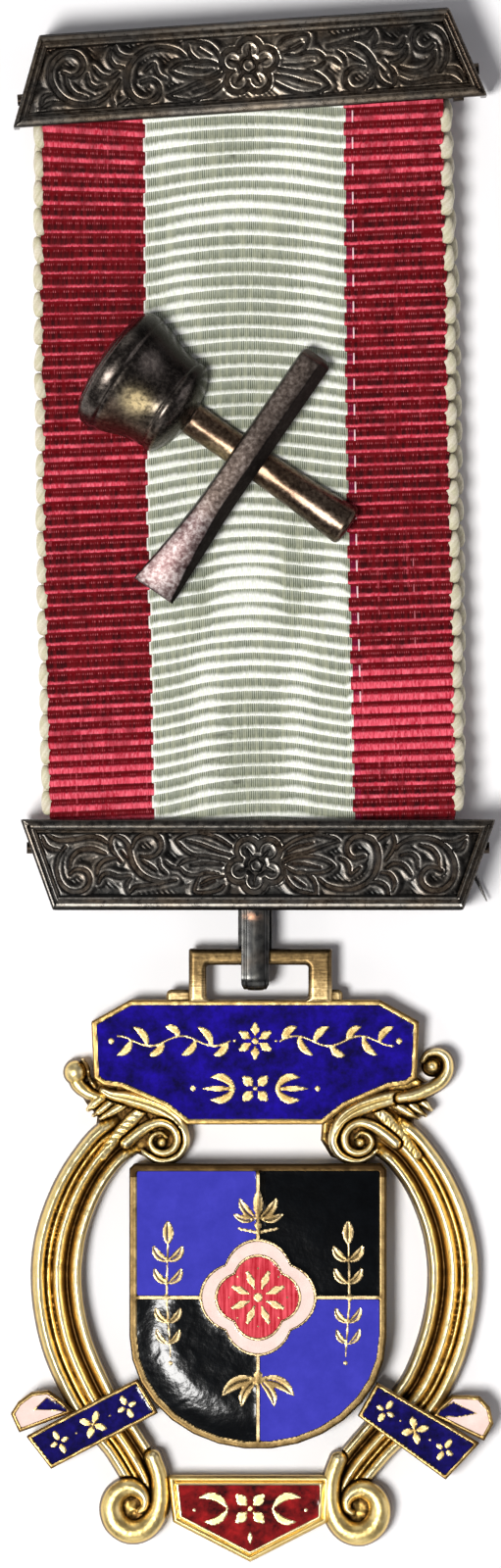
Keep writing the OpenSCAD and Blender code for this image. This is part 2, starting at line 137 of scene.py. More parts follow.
def stroke(F, rows, pad=0.3):
    """A line of rows x, y, half width. Gives the distance over the half width,
    the place along it from 0 to 1, the side and the distance past its edge."""
    r = np.asarray(rows, float)
    seg = np.hypot(r[1:, 0] - r[:-1, 0], r[1:, 1] - r[:-1, 1])
    cum = np.concatenate([[0], np.cumsum(seg)]) / max(seg.sum(), 1e-9)
    q, t, s, d = F.full(9), F.full(0), F.full(1), F.full(9)
    for i in range(len(r) - 1):
        if seg[i] < 1e-9:
            continue
        a, b = r[i], r[i + 1]
        w = max(a[2], b[2]) * 1.5 + pad
        k = F.win(min(a[0], b[0]) - w, max(a[0], b[0]) + w, min(a[1], b[1]) - w, max(a[1], b[1]) + w)
        x, y = F.X[k], F.Y[k]
        if x.size == 0:
            continue
        ux, uy = (b[0] - a[0]) / seg[i], (b[1] - a[1]) / seg[i]
        h = np.clip(((x - a[0]) * ux + (y - a[1]) * uy) / seg[i], 0, 1)
        px, py = x - a[0] - h * (b[0] - a[0]), y - a[1] - h * (b[1] - a[1])
        dist = np.hypot(px, py)
        wid = np.maximum(a[2] + h * (b[2] - a[2]), 0.01)
        m = dist / wid < q[k]
        q[k][m] = (dist / wid)[m]
        t[k][m] = (cum[i] + h * (cum[i + 1] - cum[i]))[m]
        s[k][m] = np.where(ux * py - uy * px >= 0, 1.0, -1.0)[m]
        d[k][m] = (dist - wid)[m]
    return q, t, s, d


def blur(a, n):
    """Mean over a square of 2n+1 points, twice."""
    for _ in range(2):
        for ax in (0, 1):
            p = np.pad(a, [(n + 1, n) if k == ax else (0, 0) for k in (0, 1)], mode="edge")
            c = np.cumsum(p, axis=ax)
            if ax == 0:
                a = (c[2 * n + 1:, :] - c[:-2 * n - 1, :]) / (2 * n + 1)
            else:
                a = (c[:, 2 * n + 1:] - c[:, :-2 * n - 1]) / (2 * n + 1)
    return a


def value_noise(x, y, seed):
    """Soft noise from 0 to 1, one bump for each unit."""
    xi, yi = np.floor(x).astype(int), np.floor(y).astype(int)
    fx, fy = smooth(x - xi), smooth(y - yi)

    def h(i, j):
        n = (i * 374761393 + j * 668265263 + seed * 974634777) & 0xFFFFFFFF
        n = ((n ^ (n >> 13)) * 1274126177) & 0xFFFFFFFF
        return ((n ^ (n >> 16)) & 0xFFFF) / 65535.0

    return (h(xi, yi) * (1 - fx) + h(xi + 1, yi) * fx) * (1 - fy) + (h(xi, yi + 1) * (1 - fx) + h(xi + 1, yi + 1) * fx) * fy


# =====================================================================
# Meshes
# =====================================================================
def make_mesh(name, verts, loops, totals, attrs=None, sharp=None, mats=()):
    """verts in millimetres; loops is a flat list of corners, totals the corners of each face."""
    me = bpy.data.meshes.new(name)
    v = np.asarray(verts, float) * MM
    loops = np.asarray(loops, np.int32).ravel()
    totals = np.asarray(totals, np.int32).ravel()
    me.vertices.add(len(v))
    me.vertices.foreach_set("co", v.ravel())
    me.loops.add(len(loops))
    me.loops.foreach_set("vertex_index", loops)
    me.polygons.add(len(totals))
    me.polygons.foreach_set("loop_start", np.concatenate([[0], np.cumsum(totals)[:-1]]).astype(np.int32))
    me.update(calc_edges=True)
    for key, val in (attrs or {}).items():
        a = me.attributes.new(key, "FLOAT", "POINT")
        a.data.foreach_set("value", np.asarray(val, np.float32).ravel())
    me.validate()
    me.polygons.foreach_set("use_smooth", np.ones(len(me.polygons), bool))
    if sharp:
        me.set_sharp_from_angle(angle=math.radians(sharp))
    me.update()
    ob = bpy.data.objects.new(name, me)
    bpy.context.scene.collection.objects.link(ob)
    for m in mats:
        me.materials.append(m)
    return ob


WALK = [("n", 0), ("e", 0), ("n", 1), ("e", 1), ("n", 2), ("e", 2), ("n", 3), ("e", 3)]


def relief(name, F, D, H, z_back, mat, place=None, extra=None, sharp=50, cav_n=4):
    """Solid below the height H wherever D is negative, with upright sides and a flat back.
    place moves the finished points. Its 'cav' is how far each point lies above its surroundings."""
    c = F.cell
    D = np.where(np.abs(D) < 0.03 * c, -0.03 * c, D)
    D[0, :] = D[-1, :] = 1.0
    D[:, 0] = D[:, -1] = 1.0
    ins = D < 0
    mask = ins.astype(float)
    fields = {"cav": (H - blur(H * mask, cav_n) / np.maximum(blur(mask, cav_n), 1e-3)) * mask}
    fields.update(extra or {})
    nid = np.full(D.shape, -1)
    nid[ins] = np.arange(ins.sum())
    cols = {k: [v[ins]] for k, v in fields.items()}
    top = [np.stack([F.X[ins], F.Y[ins], H[ins]], 1)]
    base = int(ins.sum())

    def cross(d0, d1, x0, y0, dx, dy, h0, h1, pairs):
        t = d0 / (d0 - d1)
        top.append(np.stack([x0 + t * dx, y0 + t * dy, h0 * (1 - t) + h1 * t], 1))
        for key, (a, b, ia, ib) in pairs.items():
            # an outside point has no value of its own
            cols[key].append(np.where(ia, a, b))

    hx = ins[:, :-1] != ins[:, 1:]
    hid = np.full(hx.shape, -1)
    hid[hx] = base + np.arange(hx.sum())
    cross(D[:, :-1][hx], D[:, 1:][hx], F.X[:, :-1][hx], F.Y[:, :-1][hx], c, 0.0, H[:, :-1][hx], H[:, 1:][hx],
          {k: (v[:, :-1][hx], v[:, 1:][hx], ins[:, :-1][hx], None) for k, v in fields.items()})
    nh = base + int(hx.sum())
    vx = ins[:-1, :] != ins[1:, :]
    vid = np.full(vx.shape, -1)
    vid[vx] = nh + np.arange(vx.sum())
    cross(D[:-1, :][vx], D[1:, :][vx], F.X[:-1, :][vx], F.Y[:-1, :][vx], 0.0, c, H[:-1, :][vx], H[1:, :][vx],
          {k: (v[:-1, :][vx], v[1:, :][vx], ins[:-1, :][vx], None) for k, v in fields.items()})
    ntop = nh + int(vx.sum())
    corner = [nid[:-1, :-1], nid[:-1, 1:], nid[1:, 1:], nid[1:, :-1]]
    edge = [hid[:-1, :], vid[:, 1:], hid[1:, :], vid[:, :-1]]
    state = sum(((k >= 0).astype(int) << i) for i, k in enumerate(corner))
    loops, totals, segs = [], [], []
    for case in range(1, 16):
        sel = state == case
        n = int(sel.sum())
        if not n:
            continue
        on = [bool(case >> i & 1) for i in range(4)]
        ids, kinds = [], []
        for kind, i in WALK:
            if kind == "n" and on[i]:
                ids.append(corner[i][sel]); kinds.append("n")
            elif kind == "e" and on[i] != on[(i + 1) % 4]:
                ids.append(edge[i][sel]); kinds.append("e")
        loops.append(np.stack(ids, 1).ravel())
        totals.append(np.full(n, len(ids)))
        for a in range(len(ids)):
            b = (a + 1) % len(ids)
            if kinds[a] == "e" and kinds[b] == "e":
                segs.append(np.stack([ids[a], ids[b]], 1))
    segs = np.concatenate(segs)
    nb = ntop - base
    top = np.concatenate(top)
    bottom = top[base:].copy()
    bottom[:, 2] = z_back
    f, t = segs[:, 0], segs[:, 1]
    loops.append(np.stack([t, f, f + nb, t + nb], 1).ravel())
    totals.append(np.full(len(segs), 4))
    # back face from the chained outline
    nxt = {int(a): int(b) for a, b in segs}
    rings, left = [], set(nxt)
    while left:
        k = start = min(left)
        ring = []
        while k in left:
            left.discard(k)
            ring.append(k)
            k = nxt[k]
        if len(ring) > 2:
            rings.append(ring)
    flat = [i for r in rings for i in r]
    tris = geometry.tessellate_polygon([[Vector((top[i][0], top[i][1], 0)) for i in r] for r in rings])
    tri = np.array([[flat[i] for i in q] for q in tris])
    a, b, d = top[tri[:, 0], :2], top[tri[:, 1], :2], top[tri[:, 2], :2]
    area = (b[:, 0] - a[:, 0]) * (d[:, 1] - a[:, 1]) - (b[:, 1] - a[:, 1]) * (d[:, 0] - a[:, 0])
    tri[area > 0] = tri[area > 0][:, ::-1]
    keep = np.abs(area) > 1e-9
    tri = tri[keep]
    loops.append((tri + nb).ravel())
    totals.append(np.full(len(tri), 3))
    verts = np.concatenate([top, bottom])
    attrs = {k: np.concatenate(v + [np.zeros(nb)]) for k, v in cols.items()}
    if place is not None:
        verts = place(verts)
    return make_mesh(name, verts, np.concatenate(loops), np.concatenate(totals), attrs, sharp, [mat])


def grid_faces(nu, nv, close_u=False, close_v=False, flip=False):
    """Quads of a net of nu by nv points, point (i, j) at i * nv + j."""
    i = np.arange(nu if close_u else nu - 1)[:, None]
    j = np.arange(nv if close_v else nv - 1)[None, :]
    i2, j2 = (i + 1) % nu, (j + 1) % nv
    q = np.stack([i * nv + j, i2 * nv + j, i2 * nv + j2, i * nv + j2], -1).reshape(-1, 4)
    return q[:, ::-1] if flip else q


# =====================================================================
# Materials
# =====================================================================
class Mat:
    def __init__(self, name, **sockets):
        self.m = bpy.data.materials.new(name)
        self.m.use_nodes = True
        self.nt = self.m.node_tree
        self.b = self.nt.nodes["Principled BSDF"]
        for k, v in sockets.items():
            self.b.inputs[k.replace("_", " ")].default_value = v
        co = self.nt.nodes.new("ShaderNodeTexCoord")
        sc = self.nt.nodes.new("ShaderNodeVectorMath")
        sc.operation = "SCALE"
        sc.inputs["Scale"].default_value = 1000.0
        self.nt.links.new(co.outputs["Object"], sc.inputs[0])
        self.mm = sc.outputs[0]

    def link(self, a, b):
        self.nt.links.new(a, b)

    def set(self, name, out):
        self.link(out, self.b.inputs[name])

    def attr(self, name):
        n = self.nt.nodes.new("ShaderNodeAttribute")
        n.attribute_name = name
        return n.outputs["Fac"]

    def stretch(self, x, y, z, turn=0.0):
        n = self.nt.nodes.new("ShaderNodeMapping")
        self.link(self.mm, n.inputs[0])
        n.inputs["Rotation"].default_value = (0, 0, math.radians(turn))
        n.inputs["Scale"].default_value = (x, y, z)
        return n.outputs[0]

    def noise(self, scale, detail=3.0, rough=0.5, vec=None, dist=0.0):
        n = self.nt.nodes.new("ShaderNodeTexNoise")
        self.link(vec or self.mm, n.inputs["Vector"])
        n.inputs["Scale"].default_value = scale
        n.inputs["Detail"].default_value = detail
        n.inputs["Roughness"].default_value = rough
        n.inputs["Distortion"].default_value = dist
        return n.outputs["Fac"]

    def math(self, op, a, b=None, c=None, clamp=False):
        n = self.nt.nodes.new("ShaderNodeMath")
        n.operation = op
        n.use_clamp = clamp
        for i, v in enumerate((a, b, c)):
            if v is None:
                continue
            if isinstance(v, (int, float)):
                n.inputs[i].default_value = v
            else:
                self.link(v, n.inputs[i])
        return n.outputs[0]

    def ramp(self, fac, stops, ease=False):
        n = self.nt.nodes.new("ShaderNodeValToRGB")
        if ease:
            n.color_ramp.interpolation = "EASE"
        self.link(fac, n.inputs[0])
        e = n.color_ramp.elements
        while len(e) < len(stops):
            e.new(0.5)
        for k, (p, col) in zip(e, stops):
            k.position = p
            k.color = (*col, 1.0) if hasattr(col, "__len__") else (col, col, col, 1.0)
        return n.outputs[0]

    def mix(self, fac, a, b, mode="MIX"):
        n = self.nt.nodes.new("ShaderNodeMix")
        n.data_type = "RGBA"
        n.blend_type = mode
        for s, v in ((n.inputs[0], fac), (n.inputs[6], a), (n.inputs[7], b)):
            if isinstance(v, (int, float)):
                s.default_value = v
            elif isinstance(v, tuple):
                s.default_value = (*v, 1.0)
            else:
                self.link(v, s)
        return n.outputs[2]

    def bump(self, height, strength, distance, normal=None):
        n = self.nt.nodes.new("ShaderNodeBump")
        n.inputs["Strength"].default_value = strength
        n.inputs["Distance"].default_value = distance * MM
        self.link(height, n.inputs["Height"])
        if normal is not None:
            self.link(normal, n.inputs["Normal"])
        return n.outputs[0]

    def range(self, v, a, b, c=0.0, d=1.0):
        n = self.nt.nodes.new("ShaderNodeMapRange")
        n.clamp = True
        for i, x in enumerate((a, b, c, d)):
            n.inputs[1 + i].default_value = x
        self.link(v, n.inputs[0])
        return n.outputs[0]


def lin(r, g, b):
    """Colour as seen on a screen, 0 to 255, to the renderer's own scale."""
    return tuple((c / 255 / 12.92) if c <= 10.3 else ((c / 255 + 0.055) / 1.055) ** 2.4 for c in (r, g, b))


def patina_silver(name, red):
    """Blackened silver: the tone comes from the relief and from painted highlights and shade laid along it, the noises
    only stain it.
    """
    m = Mat(name, Metallic=1.0, Roughness=0.3)
    n1 = m.noise(0.30, 4, 0.6)
    n2 = m.noise(2.2, 4, 0.6)
    n3 = m.noise(11.0, 3, 0.6)
    v = m.math("ADD", m.attr("tone"), m.math("MULTIPLY_ADD", m.attr("cav"), 0.9, 0.33))
    stain = m.math("ADD", m.math("MULTIPLY_ADD", n2, 0.42, -0.21), m.math("MULTIPLY_ADD", n3, 0.22, -0.11))
    v = m.math("ADD", v, m.math("MULTIPLY", stain, m.range(m.attr("tone"), 0.12, 0.42, 1.0, 0.35)), clamp=True)
    cold = m.ramp(v, [(0.0, (0.007, 0.0075, 0.007)), (0.25, (0.022, 0.022, 0.021)), (0.5, (0.075, 0.070, 0.064)), (0.75, (0.25, 0.23, 0.20)), (1.0, (0.74, 0.68, 0.60))])
    warm = m.ramp(v, [(0.0, (0.010, 0.006, 0.004)), (0.25, (0.034, 0.024, 0.017)), (0.5, (0.105, 0.083, 0.062)), (0.75, (0.29, 0.24, 0.185)), (1.0, (0.76, 0.67, 0.56))])
    col = m.mix(m.range(n1, 0.30, 0.52, 0.2, 1.0) if red else m.range(n1, 0.42, 0.60, 0.0, 0.8), warm, cold)
    if red:
        tint = m.ramp(m.math("MULTIPLY_ADD", m.attr("cut"), 0.24, v, clamp=True), [(0.0, (0.014, 0.006, 0.005)), (0.25, (0.120, 0.030, 0.020)), (0.45, (0.31, 0.088, 0.060)), (1.0, (0.60, 0.36, 0.30))])
        f = m.math("MULTIPLY", m.attr("cut"), m.range(n1, 0.36, 0.58, 1.0, 0.25))
        col = m.mix(f, col, tint)
    m.set("Base Color", col)
    m.set("Roughness", m.range(n2, 0.3, 0.7, 0.24, 0.36))
    b = m.bump(n3, 0.5, 0.010)
    sc = m.noise(1.0, 2, 0.5, m.stretch(2.0, 22.0, 3.0, 12))
    m.set("Normal", m.bump(sc, 0.4, 0.006, b))
    return m.m


def gilt():
    m = Mat("gilt", Metallic=1.0, Roughness=0.34)
    n1 = m.noise(0.5, 4, 0.6)
    n2 = m.noise(6.0, 5, 0.65)
    n3 = m.noise(26.0, 3, 0.6)
    v = m.math("ADD", m.attr("tone"), m.math("MULTIPLY_ADD", m.attr("cav"), 2.0, 0.56))
    v = m.math("ADD", v, m.math("MULTIPLY_ADD", n2, 0.34, -0.17))
    v = m.math("ADD", v, m.math("MULTIPLY_ADD", n1, 0.4, -0.2), clamp=True)
    m.set("Base Color", m.ramp(v, [(0.0, (0.07, 0.036, 0.010)), (0.25, (0.33, 0.20, 0.055)), (0.5, (0.75, 0.52, 0.16)), (0.75, (0.93, 0.72, 0.30)), (1.0, (1.0, 0.86, 0.50))]))
    m.set("Roughness", m.range(n2, 0.25, 0.8, 0.30, 0.48))
    b = m.bump(n3, 0.4, 0.008)
    sc = m.noise(1.0, 2, 0.6, m.stretch(2.5, 26.0, 3.0, 38))
    m.set("Normal", m.bump(sc, 0.4, 0.014, b))
    return m.m


def flush_gilt(name, stops, turn=-52, streak=0.0):
    """Browner, flat polished gilt beside the enamels."""
    m = Mat(name, Metallic=1.0, Roughness=0.38)
    n1 = m.noise(0.6, 4, 0.6)
    n2 = m.noise(5.0, 5, 0.65)
    sc = m.noise(1.0, 2, 0.6, m.stretch(2.5, 30.0, 3.0, turn))
    v = m.math("MULTIPLY_ADD", m.attr("cav"), 2.0, 0.5)
    v = m.math("ADD", v, m.attr("tone"))
    v = m.math("ADD", v, m.math("MULTIPLY_ADD", n2, 0.5, -0.25))
    if streak:
        st = m.noise(1.0, 3, 0.6, m.stretch(0.8, 9.0, 3.0, turn))
        v = m.math("ADD", v, m.math("MULTIPLY_ADD", st, streak, -0.5 * streak))
    v = m.math("ADD", v, m.math("MULTIPLY_ADD", n1, 0.4, -0.2), clamp=True)
    m.set("Base Color", m.ramp(v, [(p, c) for p, c in zip((0.0, 0.3, 0.55, 0.8, 1.0), stops)]))
    m.set("Roughness", m.range(n2, 0.25, 0.8, 0.28, 0.5))
    m.set("Normal", m.bump(sc, 0.5, 0.012, m.bump(n2, 0.3, 0.012)))
    return m.m


def enamel_mat(name, dark, bright, size=1.2, streak=None, rough=0.08, roll=None, shine=0.5, coat=0.25):
    m = Mat(name, Roughness=rough, Metallic=0.0)
    m.b.inputs["Coat Weight"].default_value = coat
    m.b.inputs["Coat Roughness"].default_value = 0.04
    n1 = m.noise(size, 6, 0.68)
    v = m.range(n1, 0.34, 0.68)
    if streak:
        st = m.noise(1.0, 2, 0.5, m.stretch(streak, 0.28, 1.0))
        v = m.math("MULTIPLY_ADD", m.range(st, 0.38, 0.62), 0.75, m.math("MULTIPLY", v, 0.3), clamp=True)
    col = m.ramp(v, [(0.0, dark), (0.55, tuple((a + b) / 2 for a, b in zip(dark, bright))), (1.0, bright)])
    m.set("Base Color", col)
    m.b.inputs["Specular IOR Level"].default_value = shine
    nor = m.bump(m.noise(0.8, 3, 0.55), 0.5, 0.10, m.bump(m.noise(9.0, 2, 0.5), 0.08, 0.02))
    if roll:
        # the glass sinks away gently towards the rim: middle, start and rate of the fall
        far = m.nt.nodes.new("ShaderNodeVectorMath")
        far.operation = "DISTANCE"
        m.link(m.stretch(1.0, 1.0, 0.0), far.inputs[0])
        far.inputs[1].default_value = (roll[0], roll[1], 0.0)
        t = m.math("MAXIMUM", m.math("SUBTRACT", far.outputs["Value"], roll[2]), 0.0)
        h = m.math("MULTIPLY", m.math("MULTIPLY", t, t), -0.5 * roll[3])
        h = m.math("ADD", h, m.math("MULTIPLY", m.noise(0.6, 1, 0.5, dist=0.8), roll[4]))
        side = m.nt.nodes.new("ShaderNodeSeparateXYZ")
        m.link(m.mm, side.inputs[0])
        h = m.math("MULTIPLY", h, m.range(side.outputs[0], roll[0] + 0.2, roll[0] + 0.6, 1.0, 0.15))
        nor = m.bump(h, 1.0, 1.0, nor)
    m.set("Normal", nor)
    return m.m


M_SILVER = patina_silver("patina_silver", False)
M_SILVER2 = patina_silver("patina_silver_red", True)
M_GILT = gilt()
M_RIM = flush_gilt("gilt_rims", [(0.05, 0.025, 0.01), (0.18, 0.10, 0.032), (0.37, 0.23, 0.078), (0.56, 0.38, 0.135), (0.76, 0.57, 0.26)])
M_BRONZE = flush_gilt("gilt_shield", [(0.04, 0.022, 0.008), (0.11, 0.068, 0.025), (0.22, 0.145, 0.057), (0.38, 0.27, 0.12), (0.62, 0.47, 0.25)])
M_BAIL = flush_gilt("gilt_bail", [(0.025, 0.015, 0.006), (0.088, 0.055, 0.023), (0.19, 0.124, 0.052), (0.40, 0.275, 0.12), (0.74, 0.55, 0.27)], 38, 0.7)
M_NAVY = enamel_mat("enamel_navy", lin(11, 4, 62), lin(32, 13, 160), 0.7)
M_NAVY2 = enamel_mat("enamel_navy_banner", lin(7, 4, 44), lin(26, 18, 112), 1.2)
M_BLUE = enamel_mat("enamel_blue", lin(58, 57, 172), lin(68, 66, 188), 0.6, shine=0.35)
M_BLACK = enamel_mat("enamel_black", lin(1, 2, 3), lin(6, 9, 12), 0.8, rough=0.17, roll=(0.4, -41.5, 6.4, 0.145, 0.05), shine=0.38, coat=0.0)
M_RED = enamel_mat("enamel_red", lin(178, 16, 34), lin(246, 96, 108), 1.5, streak=5.5)
M_DRED = enamel_mat("enamel_dark_red", lin(40, 9, 11), lin(168, 30, 32), 0.75)
M_PINK = enamel_mat("enamel_pink_white", lin(244, 214, 204), lin(255, 233, 224), 0.7)

# =====================================================================
# Camera, floor, lights
# =====================================================================
scene = bpy.context.scene
cam = bpy.data.objects.new("camera", bpy.data.cameras.new("camera"))
scene.collection.objects.link(cam)
cam.data.sensor_fit = "VERTICAL"
cam.data.sensor_height = 24.0
cam.data.lens = 200.0
cam.location = (-0.000168, 0.000152, 0.003 + 1.016)
cam.rotation_euler = (0, 0, 0)
scene.camera = cam
scene.view_settings.view_transform = "Standard"


def floor():
    s = 1.2
    me = bpy.data.meshes.new("floor")
    me.from_pydata([(-s, -s, 0), (s, -s, 0), (s, s, 0), (-s, s, 0)], [], [(0, 1, 2, 3)])
    ob = bpy.data.objects.new("floor", me)
    scene.collection.objects.link(ob)
    m = bpy.data.materials.new("floor")
    m.use_nodes = True
    b = m.node_tree.nodes["Principled BSDF"]
    b.inputs["Base Color"].default_value = (0.96, 0.955, 0.965, 1)
    b.inputs["Roughness"].default_value = 0.9
    b.inputs["Specular IOR Level"].default_value = 0.1
    me.materials.append(m)


floor()


def area(name, loc, size, power, color=(1, 1, 1), target=(0, 0, 0)):
    l = bpy.data.lights.new(name, "AREA")
    l.shape = "DISK"
    l.size = size
    l.energy = power
    l.color = color
    ob = bpy.data.objects.new(name, l)
    ob.location = loc
    d = Vector(target) - Vector(loc)
    ob.rotation_euler = d.to_track_quat("-Z", "Y").to_euler()
    scene.collection.objects.link(ob)


area("key", (-0.34, -0.25, 0.92), 0.34, 10.2, (1.0, 0.988, 0.972))
area("panel_right", (0.95, 0.05, 0.42), 0.8, 1.5, (0.96, 0.94, 1.0))
area("panel_left", (-0.95, 0.10, 0.42), 0.7, 1.3)
area("panel_top", (0.0, 0.98, 0.45), 0.8, 1.2)
area("panel_bottom", (0.05, -0.98, 0.42), 0.7, 1.3)
w = bpy.data.worlds.new("world")
scene.world = w
w.use_nodes = True
w.node_tree.nodes["Background"].inputs[0].default_value = (0.93, 0.91, 1.0, 1)
w.node_tree.nodes["Background"].inputs[1].default_value = 0.09


# =====================================================================
# Bars: the stamped face of both bars
# =====================================================================
BAR_W, BAR_N, BAR_H = 36.8, 31.8, 7.0
BROOCH_C, BROOCH_TILT = (-0.43, 55.827), 3.9
SUSP_C = (0.42, -6.11)


def hx(y):
    """Half length of the face at height y, wide side up."""
    return BAR_N / 2 + (BAR_W - BAR_N) / 2 * (y + BAR_H / 2) / BAR_H


# The engraving is laid out on two sheets, left and right of the flower, both in
# eightieths of a millimetre or so, from the upper left corner of each sheet
def sheet_l(x, y):
    return ((10 + x / 6.149 - 263.2) * 0.0762, (882.2 - 825 - y / 6.149) * 0.0762)


def sheet_r(x, y):
    return ((255 + x / 6.125 - 263.2) * 0.0762, (882.2 - 825 - y / 6.125) * 0.0762)


# each cut: half width at its middle, then its points
CUTS_L = [
    (0.15, (205, 175), (225, 225), (262, 254), (312, 262)),
    (0.16, (352, 238), (306, 310), (298, 400), (322, 470), (372, 514), (432, 522), (482, 498), (505, 450), (490, 402), (450, 380), (408, 386), (384, 408)),
    (0.16, (378, 366), (390, 310), (430, 268), (490, 252), (548, 260), (604, 284)),
    (0.17, (238, 162), (290, 194), (350, 200), (430, 190), (500, 176), (560, 184), (612, 214)),
    (0.13, (652, 165), (634, 210), (644, 258), (668, 292)),
    (0.18, (664, 166), (712, 190), (746, 232), (756, 290), (776, 350), (820, 408), (880, 444), (950, 460), (1042, 448)),
    (0.17, (768, 246), (792, 192), (840, 162), (900, 158), (940, 190), (950, 240), (920, 288), (870, 304), (826, 296)),
    (0.08, (668, 292), (702, 332)), (0.08, (702, 266), (742, 312)),
    (0.14, (550, 412), (560, 362), (600, 322), (664, 308)),
    (0.14, (560, 462), (582, 420), (622, 406), (692, 426), (762, 418)),
    (0.12, (746, 524), (738, 472), (762, 430)),
    (0.14, (750, 528), (790, 492), (862, 480), (962, 468)),
    (0.10, (828, 324), (872, 352), (922, 388)), (0.10, (936, 318), (946, 370), (988, 408)),
    (0.13, (1046, 196), (1100, 166), (1180, 152), (1260, 166), (1330, 200), (1392, 240)),
    (0.13, (1046, 200), (1090, 250), (1150, 290), (1220, 296), (1300, 310), (1390, 334), (1450, 340)),
    (0.10, (1112, 202), (1200, 226), (1300, 266), (1392, 290)),
    (0.10, (975, 330), (1012, 362), (1062, 376)),
    (0.12, (1064, 352), (1110, 322), (1180, 312)),
    (0.13, (1060, 366), (1110, 410), (1180, 416), (1240, 400), (1312, 410)),
    (0.09, (1140, 352), (1230, 342), (1340, 348)),
    (0.13, (1184, 432), (1160, 518), (1230, 526), (1310, 510), (1346, 480)),
    (0.11, (1200, 470), (1260, 440), (1342, 424)),
    (0.08, (1208, 492), (1290, 452)),
]
CUTS_R = [
    (0.13, (170, 292), (240, 222), (320, 182), (420, 162), (510, 180), (556, 202)),
    (0.12, (180, 330), (260, 292), (350, 276), (440, 240), (552, 202)),
    (0.10, (232, 270), (300, 236), (392, 214)),
    (0.12, (200, 346), (290, 302), (400, 302), (480, 326), (526, 356)),
    (0.12, (200, 350), (280, 398), (380, 404), (470, 394), (526, 360)),
    (0.09, (262, 346), (332, 346), (442, 370)),
    (0.13, (216, 386), (232, 450), (290, 508), (380, 530), (412, 536)),
    (0.12, (412, 536), (404, 462), (350, 404), (300, 394)),
    (0.08, (272, 432), (342, 482)),
    (0.19, (430, 440), (480, 480), (560, 504), (650, 500), (730, 462), (780, 400), (800, 322), (794, 250), (760, 196), (700, 172), (640, 186), (606, 230), (612, 280), (650, 310), (712, 298)),
    (0.13, (560, 308), (600, 330), (620, 370), (630, 406), (684, 368)),
    (0.11, (800, 196), (836, 168), (872, 158)),
    (0.12, (888, 150), (904, 210), (890, 260), (846, 324)),
    (0.19, (910, 250), (950, 212), (1020, 186), (1110, 186), (1190, 216), (1250, 280), (1278, 360), (1264, 440), (1210, 498), (1140, 512), (1082, 480), (1066, 422), (1100, 374), (1150, 366), (1196, 388)),
    (0.14, (1060, 226), (1130, 250), (1170, 300), (1182, 372)),
    (0.14, (940, 292), (1000, 282), (1040, 312), (1046, 370)),
    (0.14, (850, 372), (900, 342), (960, 356), (1006, 412)),
    (0.13, (822, 400), (872, 410), (902, 460), (888, 512)),
    (0.14, (730, 462), (800, 460), (850, 490), (866, 542)),
    (0.12, (1200, 200), (1280, 206), (1346, 174)),
    (0.12, (1268, 262), (1322, 250), (1346, 202)),
]
# petals: middle of each, from the layout's corner, and the flower's middle
PETALS = [(251.5, 865.5), (275.5, 866.0), (279.5, 889.5), (259.0, 901.0), (241.5, 889.0)]
FLOWER = (261.5, 883.0)


